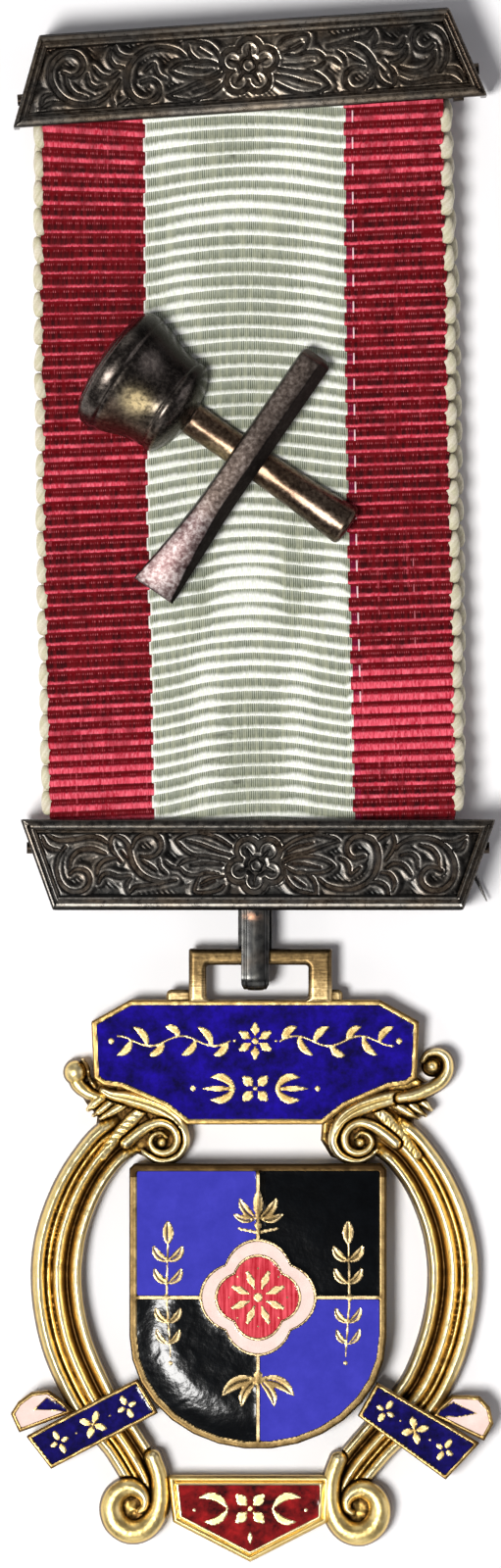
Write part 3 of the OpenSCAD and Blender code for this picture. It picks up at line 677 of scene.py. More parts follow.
def bar_face():
    F = Field(-18.7, 18.7, -3.8, 3.8, 0.075)
    X, Y = F.X, F.Y
    slope = (BAR_W - BAR_N) / 2 / BAR_H
    k = 1 / math.hypot(1, slope)
    e_wide = BAR_H / 2 - Y + 0.03
    e_narrow = Y + BAR_H / 2 + 0.03
    half = BAR_N / 2 + slope * (Y + BAR_H / 2) + 0.03
    e_left, e_right = (half + X) * k, (half - X) * k
    # rounded corners: more on the narrow side
    D = -np.minimum(np.minimum(e_wide, e_narrow), np.minimum(e_left, e_right))
    for s in (-1, 1):
        for yy, r, in ((-1, 0.30), (1, 0.14)):
            # centre of the corner's arc
            cy = yy * (BAR_H / 2 + 0.03 - r)
            cx = BAR_N / 2 + slope * (cy + BAR_H / 2) + 0.03 - r / k
            beyond = ((Y - cy) * yy > 0) & ((s * X - cx) * k + (Y - cy) * (-slope * k) > 0)
            rr = np.hypot(s * X - cx, Y - cy) - r
            D = np.where(beyond, np.maximum(D, rr), D)
    e = -D
    floor_z, rim_z = 5.24, 5.56
    # rims, each from its own side of the face
    wob = 0.02 * (value_noise(X * 1.3, Y * 0.4, 3) - 0.5)
    wide = np.interp(e_wide + wob, [0, 0.06, 0.14, 0.34, 0.46, 0.58, 0.70, 0.76, 0.84, 0.92, 1.0, 1.08], [-0.34, -0.10, -0.055, -0.015, 0.0, -0.004, -0.030, -0.10, -0.32, -0.40, -0.38, -0.33])
    narrow = np.interp(e_narrow + wob, [0, 0.06, 0.12, 0.18, 0.24, 0.30, 0.52, 0.56, 0.62, 0.70, 0.76, 0.84, 0.92, 1.0, 1.06, 1.14, 1.25],
                       [-0.55, -0.42, -0.30, -0.22, -0.165, -0.14, -0.105, -0.11, -0.20, -0.27, -0.22, -0.10, -0.06, -0.075, -0.13, -0.27, -0.32])
    e_side = np.minimum(e_left, e_right) + wob
    side = np.interp(e_side, [0, 0.05, 0.10, 0.32, 0.36, 0.42, 0.48, 0.56, 0.64, 0.70, 0.78, 0.86, 0.95],
                     [-0.34, -0.20, -0.12, -0.08, -0.10, -0.18, -0.15, -0.08, -0.07, -0.11, -0.22, -0.36, -0.32])
    # tone of the rims: painted highlights on the ridges, painted shade on the walls
    tone_w = np.interp(e_wide, [0, 0.05, 0.14, 0.36, 0.46, 0.54, 0.62, 0.72, 0.80, 1.0], [0.02, 0.04, 0.18, 0.16, 0.04, 0.14, 0.26, 0.0, -0.24, -0.10])
    tone_n = np.interp(e_narrow, [0, 0.14, 0.22, 0.30, 0.42, 0.52, 0.58, 0.68, 0.76, 0.84, 0.98, 1.06, 1.2], [-0.25, -0.20, 0.0, 0.40, 0.50, 0.25, -0.12, -0.24, -0.05, 0.18, 0.12, -0.14, -0.2])
    tone_s = np.interp(e_side, [0, 0.05, 0.12, 0.26, 0.34, 0.44, 0.52, 0.60, 0.68, 0.78, 0.9], [-0.05, 0.12, 0.26, 0.10, -0.10, -0.22, 0.0, 0.20, 0.02, -0.22, -0.2])
    from_side = np.minimum(e_left, e_right) / 0.88
    on_wide = (e_wide / 1.02 <= e_narrow / 1.12) & (e_wide / 1.02 <= from_side)
    on_narrow = e_narrow / 1.12 <= from_side
    rims = np.where(on_wide, tone_w, np.where(on_narrow, tone_n, tone_s))
    H = rim_z + np.where(on_wide, wide, np.where(on_narrow, narrow, side))
    panel = smooth((np.minimum(np.minimum(e_wide - 1.02, e_narrow - 1.12), np.minimum(e_left, e_right) - 0.86)) / 0.15)
    # ground: slight pillow and hatching
    ground = F.full(floor_z) + 0.03 * (value_noise(X * 0.9, Y * 0.9, 11) - 0.5)
    hat = smooth((value_noise(X * 0.55 + 3, Y * 0.8, 5) - 0.42) / 0.2)
    lines = np.clip(np.sin(2 * np.pi * (X * 0.70 + Y * 0.71) / 0.30), -0.4, 1) * hat
    # flower: five petals round a domed middle
    fx, fy = (FLOWER[0] - 263.2) * 0.0762, (882.2 - FLOWER[1]) * 0.0762
    dp = F.full(9)
    for px, py in PETALS:
        x, y = (px - 263.2) * 0.0762, (882.2 - py) * 0.0762
        dp = np.minimum(dp, np.hypot(X - fx - 0.87 * (x - fx), Y - fy - 0.87 * (y - fy)) - 0.78)
    r = np.hypot(X - fx, Y - fy)
    dp = np.minimum(dp, r - 1.22)
    lines = lines * smooth((dp - 0.1) / 0.2)
    ground -= 0.020 * lines
    bank = bell(np.abs(dp - 0.40) / 0.16)
    curl = bell(np.abs(dp + 0.20) / 0.18)
    G = ground + 0.08 * smooth(-dp / 0.16) + 0.045 * curl + 0.045 * bank
    G -= 0.22 * bell(np.abs(dp - 0.12) / 0.24)
    # a cut runs from the ring up the middle of each petal
    pit = F.full(0)
    for px, py in PETALS:
        dx, dy = (px - FLOWER[0]) * 0.0762, -(py - FLOWER[1]) * 0.0762
        L = math.hypot(dx, dy)
        dx, dy = dx / L, dy / L
        q = stroke(F, [(fx + dx * 0.56, fy + dy * 0.56, 0.24), (fx + dx * 0.80, fy + dy * 0.80, 0.19), (fx + dx * 1.20, fy + dy * 1.20, 0.12), (fx + dx * 1.62, fy + dy * 1.62, 0.03)])[0]
        pit = np.maximum(pit, bell(q))
    G -= 0.15 * pit
    G -= 0.13 * bell(np.abs(r - 0.62) / 0.16)
    G = np.where(r < 0.50, floor_z + 0.05 + 0.09 * smooth((0.50 - r) / 0.10) - 0.03 * smooth((0.36 - r) / 0.2), G)
    # cuts: grooves whose banks swell up on both sides
    cut, near = F.full(0), F.full(9)
    away = smooth((dp - 0.05) / 0.15)
    for conv, table in ((sheet_l, CUTS_L), (sheet_r, CUTS_R)):
        for row in table:
            pts = [conv(*p) for p in row[1:]]
            if len(pts) > 2:
                pts = through(pts, 6)
            pts = np.asarray(pts)
            t = np.linspace(0, 1, len(pts))
            hw = row[0] * (0.30 + 0.70 * np.sin(np.pi * np.clip(t * 0.94 + 0.03, 0, 1)) ** 0.55)
            q, _, _, d = stroke(F, np.column_stack([pts, hw]), pad=0.8)
            cut = np.maximum(cut, (1 - smooth((q - 0.30) / 0.85)) * min(1.0, row[0] / 0.13))
            near = np.minimum(near, d)
    swell = bell(np.clip(np.abs(near - 0.20) / 0.42, 0, 1))
    G = G + (0.070 * swell - 0.20 * cut) * away + 0.020 * lines * (1 - smooth((near - 0.25) / 0.25))
    H = H * (1 - panel) + np.minimum(G, rim_z - 0.03) * panel
    petals = smooth(-(dp + 0.04) / 0.12)
    ring = bell(np.abs(r - 0.60) / 0.16)
    outline = bell(np.abs(dp - 0.12) / 0.22)
    # tone on the face: cuts, pits, ring and outlines darker as oxide in the hollows; the banks beside the cuts and the
    # petals' curls and banks lighter, partly as worn high spots and partly as painted highlight
    tone = 0.12 * swell * away - 0.42 * cut * away - 0.10 * np.maximum(lines, 0) * smooth((near - 0.25) / 0.25)
    tone = tone + 0.06 * petals + 0.16 * curl * (1 - pit) + 0.14 * bank - 0.50 * ring - 0.48 * pit - 0.50 * outline
    tone = tone * panel + rims * (1 - panel)
    return F, D, H, {"cut": np.maximum(cut * away, 0.6 * outline) * panel, "tone": tone}


bar_F, bar_D, bar_H, bar_marks = bar_face()


def put_brooch(v):
    p = rot(180 + BROOCH_TILT, v[:, :2])
    return np.column_stack([p[:, 0] + BROOCH_C[0], p[:, 1] + BROOCH_C[1], v[:, 2]])


def put_susp(v):
    return np.column_stack([v[:, 0] + SUSP_C[0], v[:, 1] + SUSP_C[1], v[:, 2]])


# the upper bar is lighter round its flower and a little darker towards its ends
brighter_middle = (0.20 * np.exp(-((bar_F.X + 2.2) / 7.5) ** 2) - 0.04) * (1 - bar_marks["cut"])
upper_marks = {"cut": bar_marks["cut"], "tone": bar_marks["tone"] + brighter_middle}

for name, put, mat, marks_on in (("brooch_bar_face", put_brooch, M_SILVER, upper_marks), ("suspension_bar_face", put_susp, M_SILVER2, bar_marks)):
    ob = relief(name, bar_F, bar_D.copy(), bar_H, 4.6, mat, place=put, extra=marks_on, cav_n=4)
    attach(ob, "root")

for n in ("brooch_bar", "suspension_bar"):
    o = frame["nodes"][n]
    for i in range(len(o.material_slots)):
        o.material_slots[i].material = M_SILVER

# =====================================================================
# Pendant: outlines shared by the gilt pieces and the enamels, in millimetres
# =====================================================================
AXIS = 0.2


def lean(y):
    return 0.0 if y > -47 else -0.75 * min(1.0, (-47 - y) / 7)


def place(m, p):
    return (AXIS + m * p[0] + lean(p[1]), p[1])


# out from the middle line, height, width of the arm's band
ARM = [(9.8, -26.9, 3.6), (11.4, -28.0, 3.8), (12.8, -29.7, 3.8), (13.9, -31.6, 3.9), (14.8, -33.9, 4.0), (15.3, -36.1, 4.1), (15.45, -38.4, 4.1),
       (15.2, -41.0, 4.1), (14.5, -43.8, 4.1), (13.2, -46.8, 4.0), (11.7, -49.0, 3.8), (9.95, -51.0, 3.5), (8.3, -53.3, 3.4), (7.4, -55.2, 2.7), (7.1, -56.6, 2.0)]
CARTOUCHE = [(9.7, -16.65), (12.75, -18.35), (12.55, -22.75), (11.8, -23.3), (10.4, -23.5), (9.0, -24.1), (7.0, -25.0), (5.3, -26.35)]
CARTOUCHE = [place(1, p) for p in CARTOUCHE] + [place(-1, p) for p in reversed(CARTOUCHE)]
LEAF = [(12.6, -22.7), (10.4, -23.3), (8.6, -24.0), (7.0, -24.9), (5.2, -26.2), (5.1, -27.6), (5.9, -28.9), (7.4, -29.4), (9.3, -28.6), (12.4, -26.6), (12.3, -25.7), (13.1, -24.8), (13.9, -23.6)]
TABLET = [(p[0] - 0.3, p[1]) for p in [(6.3, -53.7), (6.15, -57.3), (0.1, -60.4), (-5.9, -57.3), (-6.3, -53.7)]]
BANNER_L = [(-17.58, -50.60), (-8.97, -46.14), (-7.37, -48.77), (-15.67, -53.11)]
BANNER_R = [(17.63, -51.13), (9.67, -46.41), (8.18, -49.00), (15.00, -53.95)]
CURL_L = [(-18.15, -50.30), (-18.82, -48.84), (-18.25, -47.95), (-17.20, -47.17), (-15.90, -47.02), (-14.91, -47.75), (-13.90, -48.70)]
CURL_R = [(18.00, -50.95), (18.73, -49.61), (18.46, -48.39), (17.63, -47.47), (15.50, -47.38), (14.40, -48.40), (14.00, -49.00)]
SHIELD_C = (0.42, -29.38)
SHIELD_HW, SHIELD_H, CELL_IN = 10.0, 22.2, 0.62
MED_C, MED_R, LINE_W = (0.0, -10.4), 4.3, 0.4


def shield_pts():
    p = [(-SHIELD_HW + 0.4, 0), (SHIELD_HW - 0.4, 0), (SHIELD_HW, -0.4)]
    p += [(SHIELD_HW * math.cos(math.radians(a)), -(SHIELD_H - 8.8) - 8.8 * math.sin(math.radians(a))) for a in range(0, 181, 12)]
    p += [(-SHIELD_HW, -0.4)]
    return [(x + SHIELD_C[0], y + SHIELD_C[1]) for x, y in p]


# Layout points of the scroll work: units of 0.0762 mm, right and down, from the
# corner of a sheet 257.7 left of and 802 above the origin
U = 0.0762


def L(rows, m=-1, mid=264.7, dy=0.0):
    """Rows x, y, half width of the left side's layout, or mirrored for the right."""
    out = []
    for x, y, w in rows:
        px = x if m < 0 else 2 * mid - x
        out.append(((px - 257.7) * U, (802.0 - y - (dy if m > 0 else 0)) * U, w * U))
    return through(out, 6)


ROLL = [(128, 1167, 6.2), (140.2, 1156.8, 6.2), (152.5, 1149.2, 5.6), (164.7, 1146, 5.0), (175.4, 1151, 4.6), (180.8, 1161.4, 4.4), (177.7, 1172.2, 4.2), (167.8, 1177.5, 4.0),
        (157.4, 1174.4, 3.4), (152.6, 1166, 2.8), (156.3, 1158.8, 2.3), (163.9, 1156.6, 2.0), (169.5, 1161.0, 1.6)]
WRAP = [(104, 1113, 3.5), (114, 1118, 5.5), (130, 1121, 7.5), (148, 1126, 8.5), (166, 1133, 8.5), (180, 1143, 7.5), (188, 1156, 5.6), (189.2, 1168, 4.8), (181, 1180.5, 4.8), (165, 1185.5, 4.4), (152, 1180.5, 3.4), (144.5, 1173.5, 1.2)]
ROPE = [(150, 1131, 3.5), (138.5, 1139, 6.5), (128, 1150.5, 7.0), (116, 1163, 6.4), (104, 1179, 6.0)]
LOBES = [[(106, 1119, 4.5), (97, 1126, 4.8), (89.5, 1133, 2.2)], [(117, 1122, 4.0), (106, 1131, 4.4), (95, 1139, 1.8)], [(129, 1126, 4.0), (117, 1133, 4.6), (103, 1141.5, 1.8)]]
KNOB_TAIL = [(75, 1097, 8), (80, 1108, 8), (90, 1116.5, 6.5), (104, 1121, 5)]
HOOK = [(431, 1083, 2.6), (437, 1075.5, 4.0), (448, 1074, 5.2), (456.5, 1081, 6.0), (457.5, 1093, 6.6), (450.5, 1104.5, 7.2), (438, 1112, 7.6), (424, 1118, 7.2), (408, 1121, 6.0)]
VOLUTE = [(156, 1488, 9.5), (162.5, 1508, 10), (163.5, 1530, 10.6), (158.5, 1549, 11.6), (147, 1562, 12.2), (131.5, 1564.5, 12.8), (118, 1555.5, 12.8), (113, 1540, 12.2), (117.5, 1526, 11.2), (129.5, 1518.5, 10.4), (141, 1521.5, 8.4),
          (147.5, 1530, 6.0), (147, 1538.5, 4.4), (142, 1543, 3.2)]
# heights across the arm, from its outer edge (0) to its inner edge (1)
ACROSS = ([0.0, 0.03, 0.08, 0.15, 0.22, 0.255, 0.275, 0.31, 0.34, 0.37, 0.395, 0.42, 0.46, 0.50, 0.55, 0.60, 0.635, 0.66, 0.70, 0.735, 0.77, 0.82, 0.88, 0.94, 0.98, 1.0],
          [1.20, 1.62, 1.96, 2.16, 2.06, 1.78, 1.42, 1.66, 1.76, 1.66, 1.44, 1.62, 1.98, 2.10, 2.02, 1.74, 1.36, 1.12, 1.08, 1.30, 1.74, 2.10, 2.20, 2.02, 1.62, 1.22])


def scroll(m):
    F = Field(-19.0, -3.6, -60.4, -20.0, 0.08) if m < 0 else Field(4.0, 19.4, -60.4, -20.0, 0.08)
    X, Y = F.X, F.Y
    H = F.full(1.05) + 0.12 * (value_noise(X * 2, Y * 2, 21) - 0.5)
    D = sd_poly(F, [place(m, p) for p in LEAF])

    def put(rows, base, top, power=0.8, grow=0.0, after=None):
        nonlocal H, D
        q, t, s, d = stroke(F, rows)
        b = base + (top - base) * dome(q) ** power
        if after is not None:
            b = after(b, q, t, s)
        # a dark cut where the new form lies over what is under it
        H = np.where(d < 0.10, np.minimum(H, 1.25 + 8 * np.maximum(d, 0) ** 1.2), H) if grow else H
        H = np.where(q < 1, np.maximum(H, b), H)
        D = np.minimum(D, d - 0.01)
        return q, t, s, d

    # arm
    rows = through([(place(m, p)[0], p[1], p[2] / 2) for p in ARM], 5)
    q, t, s, d = stroke(F, rows)
    f = 0.5 - 0.5 * np.clip(q, 0, 1) * s * m
    arm = np.interp(f, *ACROSS)
    # the ridges soften towards both ends, and are slightly uneven by hand
    arm += 0.05 * (value_noise(t * 60, f * 6, 31) - 0.5)
    fade = smooth(t / 0.05) * smooth((1.0 - t) / 0.05)
    H = np.where(q < 1, np.maximum(H, arm * fade + 1.1 * (1 - fade)), H)
    D = np.minimum(D, d)
    # leaves beside the cartouche
    rope = L(ROPE, m)
    put(rope, 1.3, 2.10, 0.7, after=lambda b, q, t, s: b - 0.13 * np.abs(np.sin(t * 26 + q * s * 2.0)) * bell(q))
    for i, lobe in enumerate(LOBES):
        put(L(lobe, m), 1.35, 2.05 + 0.05 * i, 0.6, grow=1)
    put(L(WRAP, m), 1.35, 2.16, 0.7, grow=1, after=lambda b, q, t, s: b - 0.16 * bell((q * s * m + 0.1) / 0.35) * smooth((0.62 - t) / 0.2))
    # roll of the inner volute with its eye
    hollow = np.hypot(X - L([(165.5, 1165, 1)] * 2, m, 266)[0][0], Y - (802 - 1165) * U)
    H = np.where(hollow < 0.95, np.minimum(H, 1.15), H)
    D = np.minimum(D, hollow - 1.0)
    put(L(ROLL, m, 266), 1.30, 2.24, 0.75, grow=1)
    ex, ey = L([(164.6, 1166.5, 1)] * 2, m, 266)[0][:2]
    H = np.where(np.hypot(X - ex, Y - ey) < 0.40, np.maximum(H, 1.2 + 0.85 * dome(np.hypot(X - ex, Y - ey) / 0.40)), H)
    # knob
    if m < 0:
        put(L(KNOB_TAIL), 1.1, 1.95, 0.8)
        bx, by = (76.5 - 257.7) * U, (802 - 1094.5) * U
        r = np.hypot(X - bx, (Y - by) * 0.93)
        H = np.where(r < 0.98, np.maximum(H, 1.1 + 1.15 * dome(r / 0.96)), H)
        D = np.minimum(D, r - 0.96)
        lip = L([(84, 1082, 1.6), (89, 1090, 2.0), (91, 1101, 2.0), (97, 1110, 1.6)])
        ql, tl, sl, dl = stroke(F, lip)
        H = np.where((dl > 0) & (dl < 0.25) & (q > 1), np.minimum(H, 1.5), H)
        H = np.where(ql < 1, np.maximum(H, 1.5 + 0.55 * dome(ql)), H)
        D = np.minimum(D, dl)
    else:
        rows = through([((x - 257.7) * U, (802 - y) * U, w * U) for x, y, w in HOOK], 6)
        put(rows, 1.1, 2.12, 0.8, grow=1)
        bx, by = (441.2 - 257.7) * U, (802 - 1088.5) * U
        r = np.hypot(X - bx, Y - by)
        D = np.minimum(D, r - 0.85)
        H = np.where(r < 0.66, np.where(r < 0.50, 1.2 + 0.85 * dome(r / 0.5), np.minimum(H, 1.2)), H)
    # lower volute
    cx, cy = (L([(137, 1543, 1)] * 2, m, mid=250.5, dy=2)[0])[:2]
    r = np.hypot(X - cx, Y - cy)
    D = np.minimum(D, r - 2.0)
    H = np.where(r < 1.9, 1.0 + 0.1 * value_noise(X * 3, Y * 3, 41), H)
    put(L(VOLUTE, m, mid=250.5, dy=2), 1.10, 2.30, 0.85, grow=1)
    # soft outer edge
    e = np.clip(-D, 0, None)
    H = H - 0.35 * (1 - smooth(e / 0.22))
    H += 0.02 * (value_noise(X * 7, Y * 7, 51) - 0.5)
    name = "scroll_left" if m < 0 else "scroll_right"
    ob = relief(name, F, D, H, 0.0, M_GILT, sharp=70, cav_n=4)
    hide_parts("pendant_frame")
    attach(ob, "root")


scroll(-1)
scroll(1)


# ---------------------------------------------------------------- flush gilt ornaments
def leaf(x0, y0, x1, y1, w, bend=0.0, n=9):
    """A pointed leaf from its foot to its tip, as rows of a line."""
    t = np.linspace(0, 1, n)
    dx, dy = x1 - x0, y1 - y0
    bow = bend * np.sin(np.pi * t)
    x = x0 + dx * t - dy * bow
    y = y0 + dy * t + dx * bow
    return np.column_stack([x, y, np.maximum(w * np.sin(np.pi * (0.08 + 0.90 * t)) ** 0.8, 0.03)])


def marks(F, lines=(), discs=(), holes=()):
    """Distance to a set of flush ornaments, negative inside them."""
    D = F.full(9)
    for rows in lines:
        D = np.minimum(D, stroke(F, rows)[3])
    for x, y, r in discs:
        D = np.minimum(D, np.hypot(F.X - x, F.Y - y) - r)
    for x, y, r in holes:
        D = np.maximum(D, r - np.hypot(F.X - x, F.Y - y))
    return D


def rosette(x, y, n, r, w, turn=0.0, eye=0.0):
    """Petals round a point, and the disc in their middle."""
    out = []
    for i in range(n):
        a = math.radians(turn + 360 * i / n)
        c, s = math.cos(a), math.sin(a)
        out.append([(x + c * r * 0.30, y + s * r * 0.30, w * 0.35), (x + c * r * 0.62, y + s * r * 0.62, w), (x + c * r * 0.9, y + s * r * 0.9, w * 0.55)])
    return out, [(x, y, eye)] if eye else []


def spray(x0, x1, y, leaves, w, lift, sign=1):
    """A waving stem with leaves to either side of it."""
    t = np.linspace(0, 1, 25)
    xs = x0 + (x1 - x0) * t
    ys = y + lift * 0.35 * np.sin(t * np.pi * (leaves / 2.0)) * sign
    out = [np.column_stack([xs, ys, np.full(25, 0.14)])]
    step = (x1 - x0) / leaves
    for i in range(leaves):
        xa = x0 + step * (i + 0.15)
        up = sign * (1 if i % 2 == 0 else -1)
        ya = float(np.interp(xa, xs if x1 > x0 else xs[::-1], ys if x1 > x0 else ys[::-1]))
        out.append(leaf(xa, ya + 0.02 * up, xa + step * 0.95, y + up * lift, w, bend=0.16 * up * np.sign(step)))
    return out


def cells(F, D, rim, top, floor_z, orn=None, orn_top=None, round_r=0.12):
    """Height of a plate with a raised rim, a sunk cell and flush ornaments in it."""
    e = -D
    H = F.full(top) - round_r * (1 - np.sqrt(np.clip(1 - (1 - np.clip(e / round_r, 0, 1)) ** 2, 0, 1)))
    inner = D + rim
    H -= (top - floor_z) * smooth(-inner / 0.10 + 0.5)
    # a fine line is left where rim and cell meet
    if orn is not None:
        H = np.maximum(H, floor_z + (orn_top - floor_z) * smooth(-orn / 0.12 + 0.5))
    return H


def enamel(name, node, F, D, floor_z, top, mat, slot, wave=0.02):
    e = np.clip(-D, 0, None)
    H = top + wave * (value_noise(F.X * 0.7, F.Y * 0.7, 61) - 0.5) + 0.03 * np.exp(-e / 0.14) - 0.008
    ob = relief(name, F, D, H, floor_z + 0.03, mat, sharp=60, cav_n=2)
    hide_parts(node)
    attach(ob, "root")
    return ob


def gilt_piece(ob, node="pendant_frame"):
    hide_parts(node)
    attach(ob, "root")


# ---------------------------------------------------------------- cartouche
F = Field(-13.1, 13.5, -26.8, -16.2, 0.08)
D = sd_poly(F, CARTOUCHE)
yu, yl = -19.85, -23.55
lines, discs = rosette(AXIS, yu, 6, 1.45, 0.40, 30, 0.32)
for s in (-1, 1):
    lines += spray(AXIS + s * 1.95, AXIS + s * 10.7, yu, 7, 0.37, 1.12, s)
    discs.append((AXIS + s * 11.2, yu, 0.30))
    discs += [(AXIS + s * 1.62, yu + 0.0, 0.18)]
a, b = rosette(AXIS, yl, 4, 1.30, 0.46, 45, 0.0)
lines += a
discs += [(AXIS, yl, 0.24)] + b
for s in (-1, 1):
    lines += [leaf(AXIS + s * 1.6, yl, AXIS + s * 3.6, yl + 0.85, 0.38, 0.2 * s), leaf(AXIS + s * 1.6, yl, AXIS + s * 3.6, yl - 0.85, 0.38, -0.2 * s), leaf(AXIS + s * 1.7, yl, AXIS + s * 4.3, yl, 0.27)]
    discs.append((AXIS + s * 4.85, yl, 0.28))
orn = marks(F, lines, discs)
H = cells(F, D, 0.46 + 0.03 * (value_noise(F.X * 0.8, F.Y * 0.8, 71) - 0.5), 2.2, 1.5, orn, 2.14)
H = np.where(D + 0.46 > 0, H + 0.025 * (value_noise(F.X * 2.2, F.Y * 2.2, 73) - 0.5), H)
gilt_piece(relief("cartouche_frame", F, D, H, 0.0, M_RIM, sharp=60, extra={"tone": -0.20 * smooth((D + 0.52) / 0.1)}, cav_n=4))
Fc = Field(-13.1, 13.5, -26.8, -16.2, 0.16)
enamel("cartouche_enamel_pool", "cartouche_enamel", Fc, sd_poly(Fc, CARTOUCHE) + 0.43, 1.5, 2.1, M_NAVY, "enamel_navy")

# ---------------------------------------------------------------- tablet
F = Field(-7.0, 6.6, -60.7, -53.4, 0.08)
D = sd_poly(F, TABLET)
lines, discs = rosette(-0.2, -56.25, 4, 1.50, 0.48, 45)
discs.append((-0.2, -56.25, 0.26))
for s in (-1, 1):
    lines += [leaf(-0.2 + s * 1.75, -56.2, -0.2 + s * 4.1, -55.45, 0.37, 0.22 * s), leaf(-0.2 + s * 1.75, -56.3, -0.2 + s * 3.7, -57.25, 0.35, -0.2 * s)]
    discs.append((-0.2 + s * 4.35, -56.35, 0.2))
lines += [leaf(-0.2, -58.0, -0.2, -59.1, 0.22)]
inner = sd_poly(F, inset(TABLET, 0.78))
orn = marks(F, lines, discs)
H = cells(F, D, 0.0, 2.2, 2.2)
# moulded border: outer bead, groove, inner line
H = np.where(D > -0.78, 2.2 + np.interp(-D, [0, 0.08, 0.2, 0.34, 0.44, 0.52, 0.62, 0.74, 0.8], [-0.35, -0.12, 0.0, -0.03, -0.22, -0.12, -0.02, -0.03, -0.05]), H)
H -= (H - 1.5) * smooth(-inner / 0.10 + 0.5)
H = np.maximum(H, 1.5 + 0.64 * smooth(-orn / 0.12 + 0.5))
gilt_piece(relief("tablet_frame", F, D, H, 0.0, M_GILT, sharp=60, extra={"tone": -0.26 * smooth(-orn / 0.12 + 0.5)}, cav_n=4))
Fc = Field(-7.0, 6.6, -60.7, -53.4, 0.16)
enamel("tablet_enamel_pool", "tablet_enamel", Fc, sd_poly(Fc, inset(TABLET, 0.76)), 1.5, 2.1, M_DRED, "enamel_dark_red")

# ---------------------------------------------------------------- banners and their curled ends
for side, B, C, F in (("left", BANNER_L, CURL_L, Field(-19.1, -7.1, -53.5, -45.8, 0.08)), ("right", BANNER_R, CURL_R, Field(7.9, 19.1, -54.3, -46.1, 0.08))):
    m = -1 if side == "left" else 1
    # curl behind, lower
    D = sd_poly(F, C)
    Dc = np.maximum(sd_poly(F, inset(C, 0.33)), 0.0 - sd_poly(F, B) - 0.05)
    wedge = sd_poly(F, [(C[4][0] + 0.1 * m, C[4][1] - 0.55), (C[3][0] - 0.2 * m, C[3][1] - 1.35), (C[6][0] + 1.9 * m, C[6][1] + 0.15 - 0.25 * (m > 0)), (C[6][0], C[6][1])])
    line = np.abs(wedge) - 0.10
    H = F.full(2.62) - 0.12 * (1 - smooth(-D / 0.15))
    H -= 0.7 * smooth(-Dc / 0.10 + 0.5)
    H = np.maximum(H, 1.92 + 0.62 * smooth(-line / 0.10 + 0.5) * (Dc < 0))
    gilt_piece(relief("banner_curl_frame_" + side, F, D, H, 1.0, M_RIM, sharp=60, extra={"tone": -0.30 + 0 * D}, cav_n=4))
    Fc = Field(F.xs[0], F.xs[-1], F.ys[0], F.ys[-1], 0.12)
    Dp = np.maximum(sd_poly(Fc, inset(C, 0.31)), -sd_poly(Fc, B) - 0.03)
    wc = sd_poly(Fc, [(C[4][0] + 0.1 * m, C[4][1] - 0.55), (C[3][0] - 0.2 * m, C[3][1] - 1.35), (C[6][0] + 1.9 * m, C[6][1] + 0.15 - 0.25 * (m > 0)), (C[6][0], C[6][1])])
    enamel("banner_curl_pool_" + side, "banner_curl_" + side, Fc, np.maximum(Dp, 0.02 - wc), 1.9, 2.5, M_PINK, "enamel_pink_white", 0.01)
    enamel("banner_curl_wedge_" + side, "banner_curl_" + side, Fc, np.maximum(Dp, wc), 1.9, 2.49, M_NAVY2, "enamel_navy", 0.01)
    # strip in front
    D = sd_poly(F, B)
    a = (np.array(B[0]) + np.array(B[3])) / 2
    b = (np.array(B[1]) + np.array(B[2])) / 2
    u = (b - a) / np.linalg.norm(b - a)
    v = np.array([-u[1], u[0]])
    ln = np.linalg.norm(b - a)
    lines, discs = [], []

    def at(s, h):
        return a + u * s + v * h

    for k, s in enumerate((ln * 0.19, ln * 0.50, ln * 0.81)):
        c = at(s, 0.0)
        if k == 1:
            for i in range(4):
                ang = math.radians(45 + 90 * i)
                d1 = u * math.cos(ang) + v * math.sin(ang)
                lines.append(leaf(*(c + d1 * 0.16), *(c + d1 * 1.14), 0.34))
            discs.append((*c, 0.17))
        else:
            for h in (-1, 1):
                lines.append(leaf(*(c + v * 0.18 * h), *(c + v * 1.0 * h), 0.31))
                lines.append(leaf(*(c + u * 0.18 * h), *(c + u * 0.80 * h), 0.27))
    for s in (0.345, 0.655):
        discs.append((*at(ln * s, 0.0), 0.16))
    orn = marks(F, lines, discs)
    H = cells(F, D, 0.32, 2.9, 2.2, orn, 2.885)
    H = np.where(D + 0.3 > 0, H + 0.03 * (value_noise(F.X * 2.2, F.Y * 2.2, 75) - 0.5), H)
    gilt_piece(relief("banner_frame_" + side, F, D, H, 1.2, M_RIM, sharp=60, extra={"tone": -0.30 * smooth((D + 0.42) / 0.1)}, cav_n=4))
    enamel("banner_pool_" + side, "banner_enamel_" + side, Fc, sd_poly(Fc, B) + 0.30, 2.2, 2.85, M_NAVY2, "enamel_navy", 0.02)

# ---------------------------------------------------------------- shield
S_OUT = shield_pts()
S_IN = [tuple(p) for p in inset(S_OUT, CELL_IN)]
MCX, MCY = SHIELD_C[0] + MED_C[0], SHIELD_C[1] + MED_C[1]


def lobed(F, r0):
    dx, dy = F.X - MCX, F.Y - MCY
    return np.hypot(dx, dy) - r0 * (0.80 + 0.20 * np.abs(np.cos(2 * np.arctan2(dy, dx))))


def quarter(F, sx, sy, inner):
    d = np.maximum(inner, LINE_W / 2 - sx * (F.X - MCX))
    d = np.maximum(d, LINE_W / 2 - sy * (F.Y - MCY))
    return np.maximum(d, -lobed(F, MED_R + 0.3))


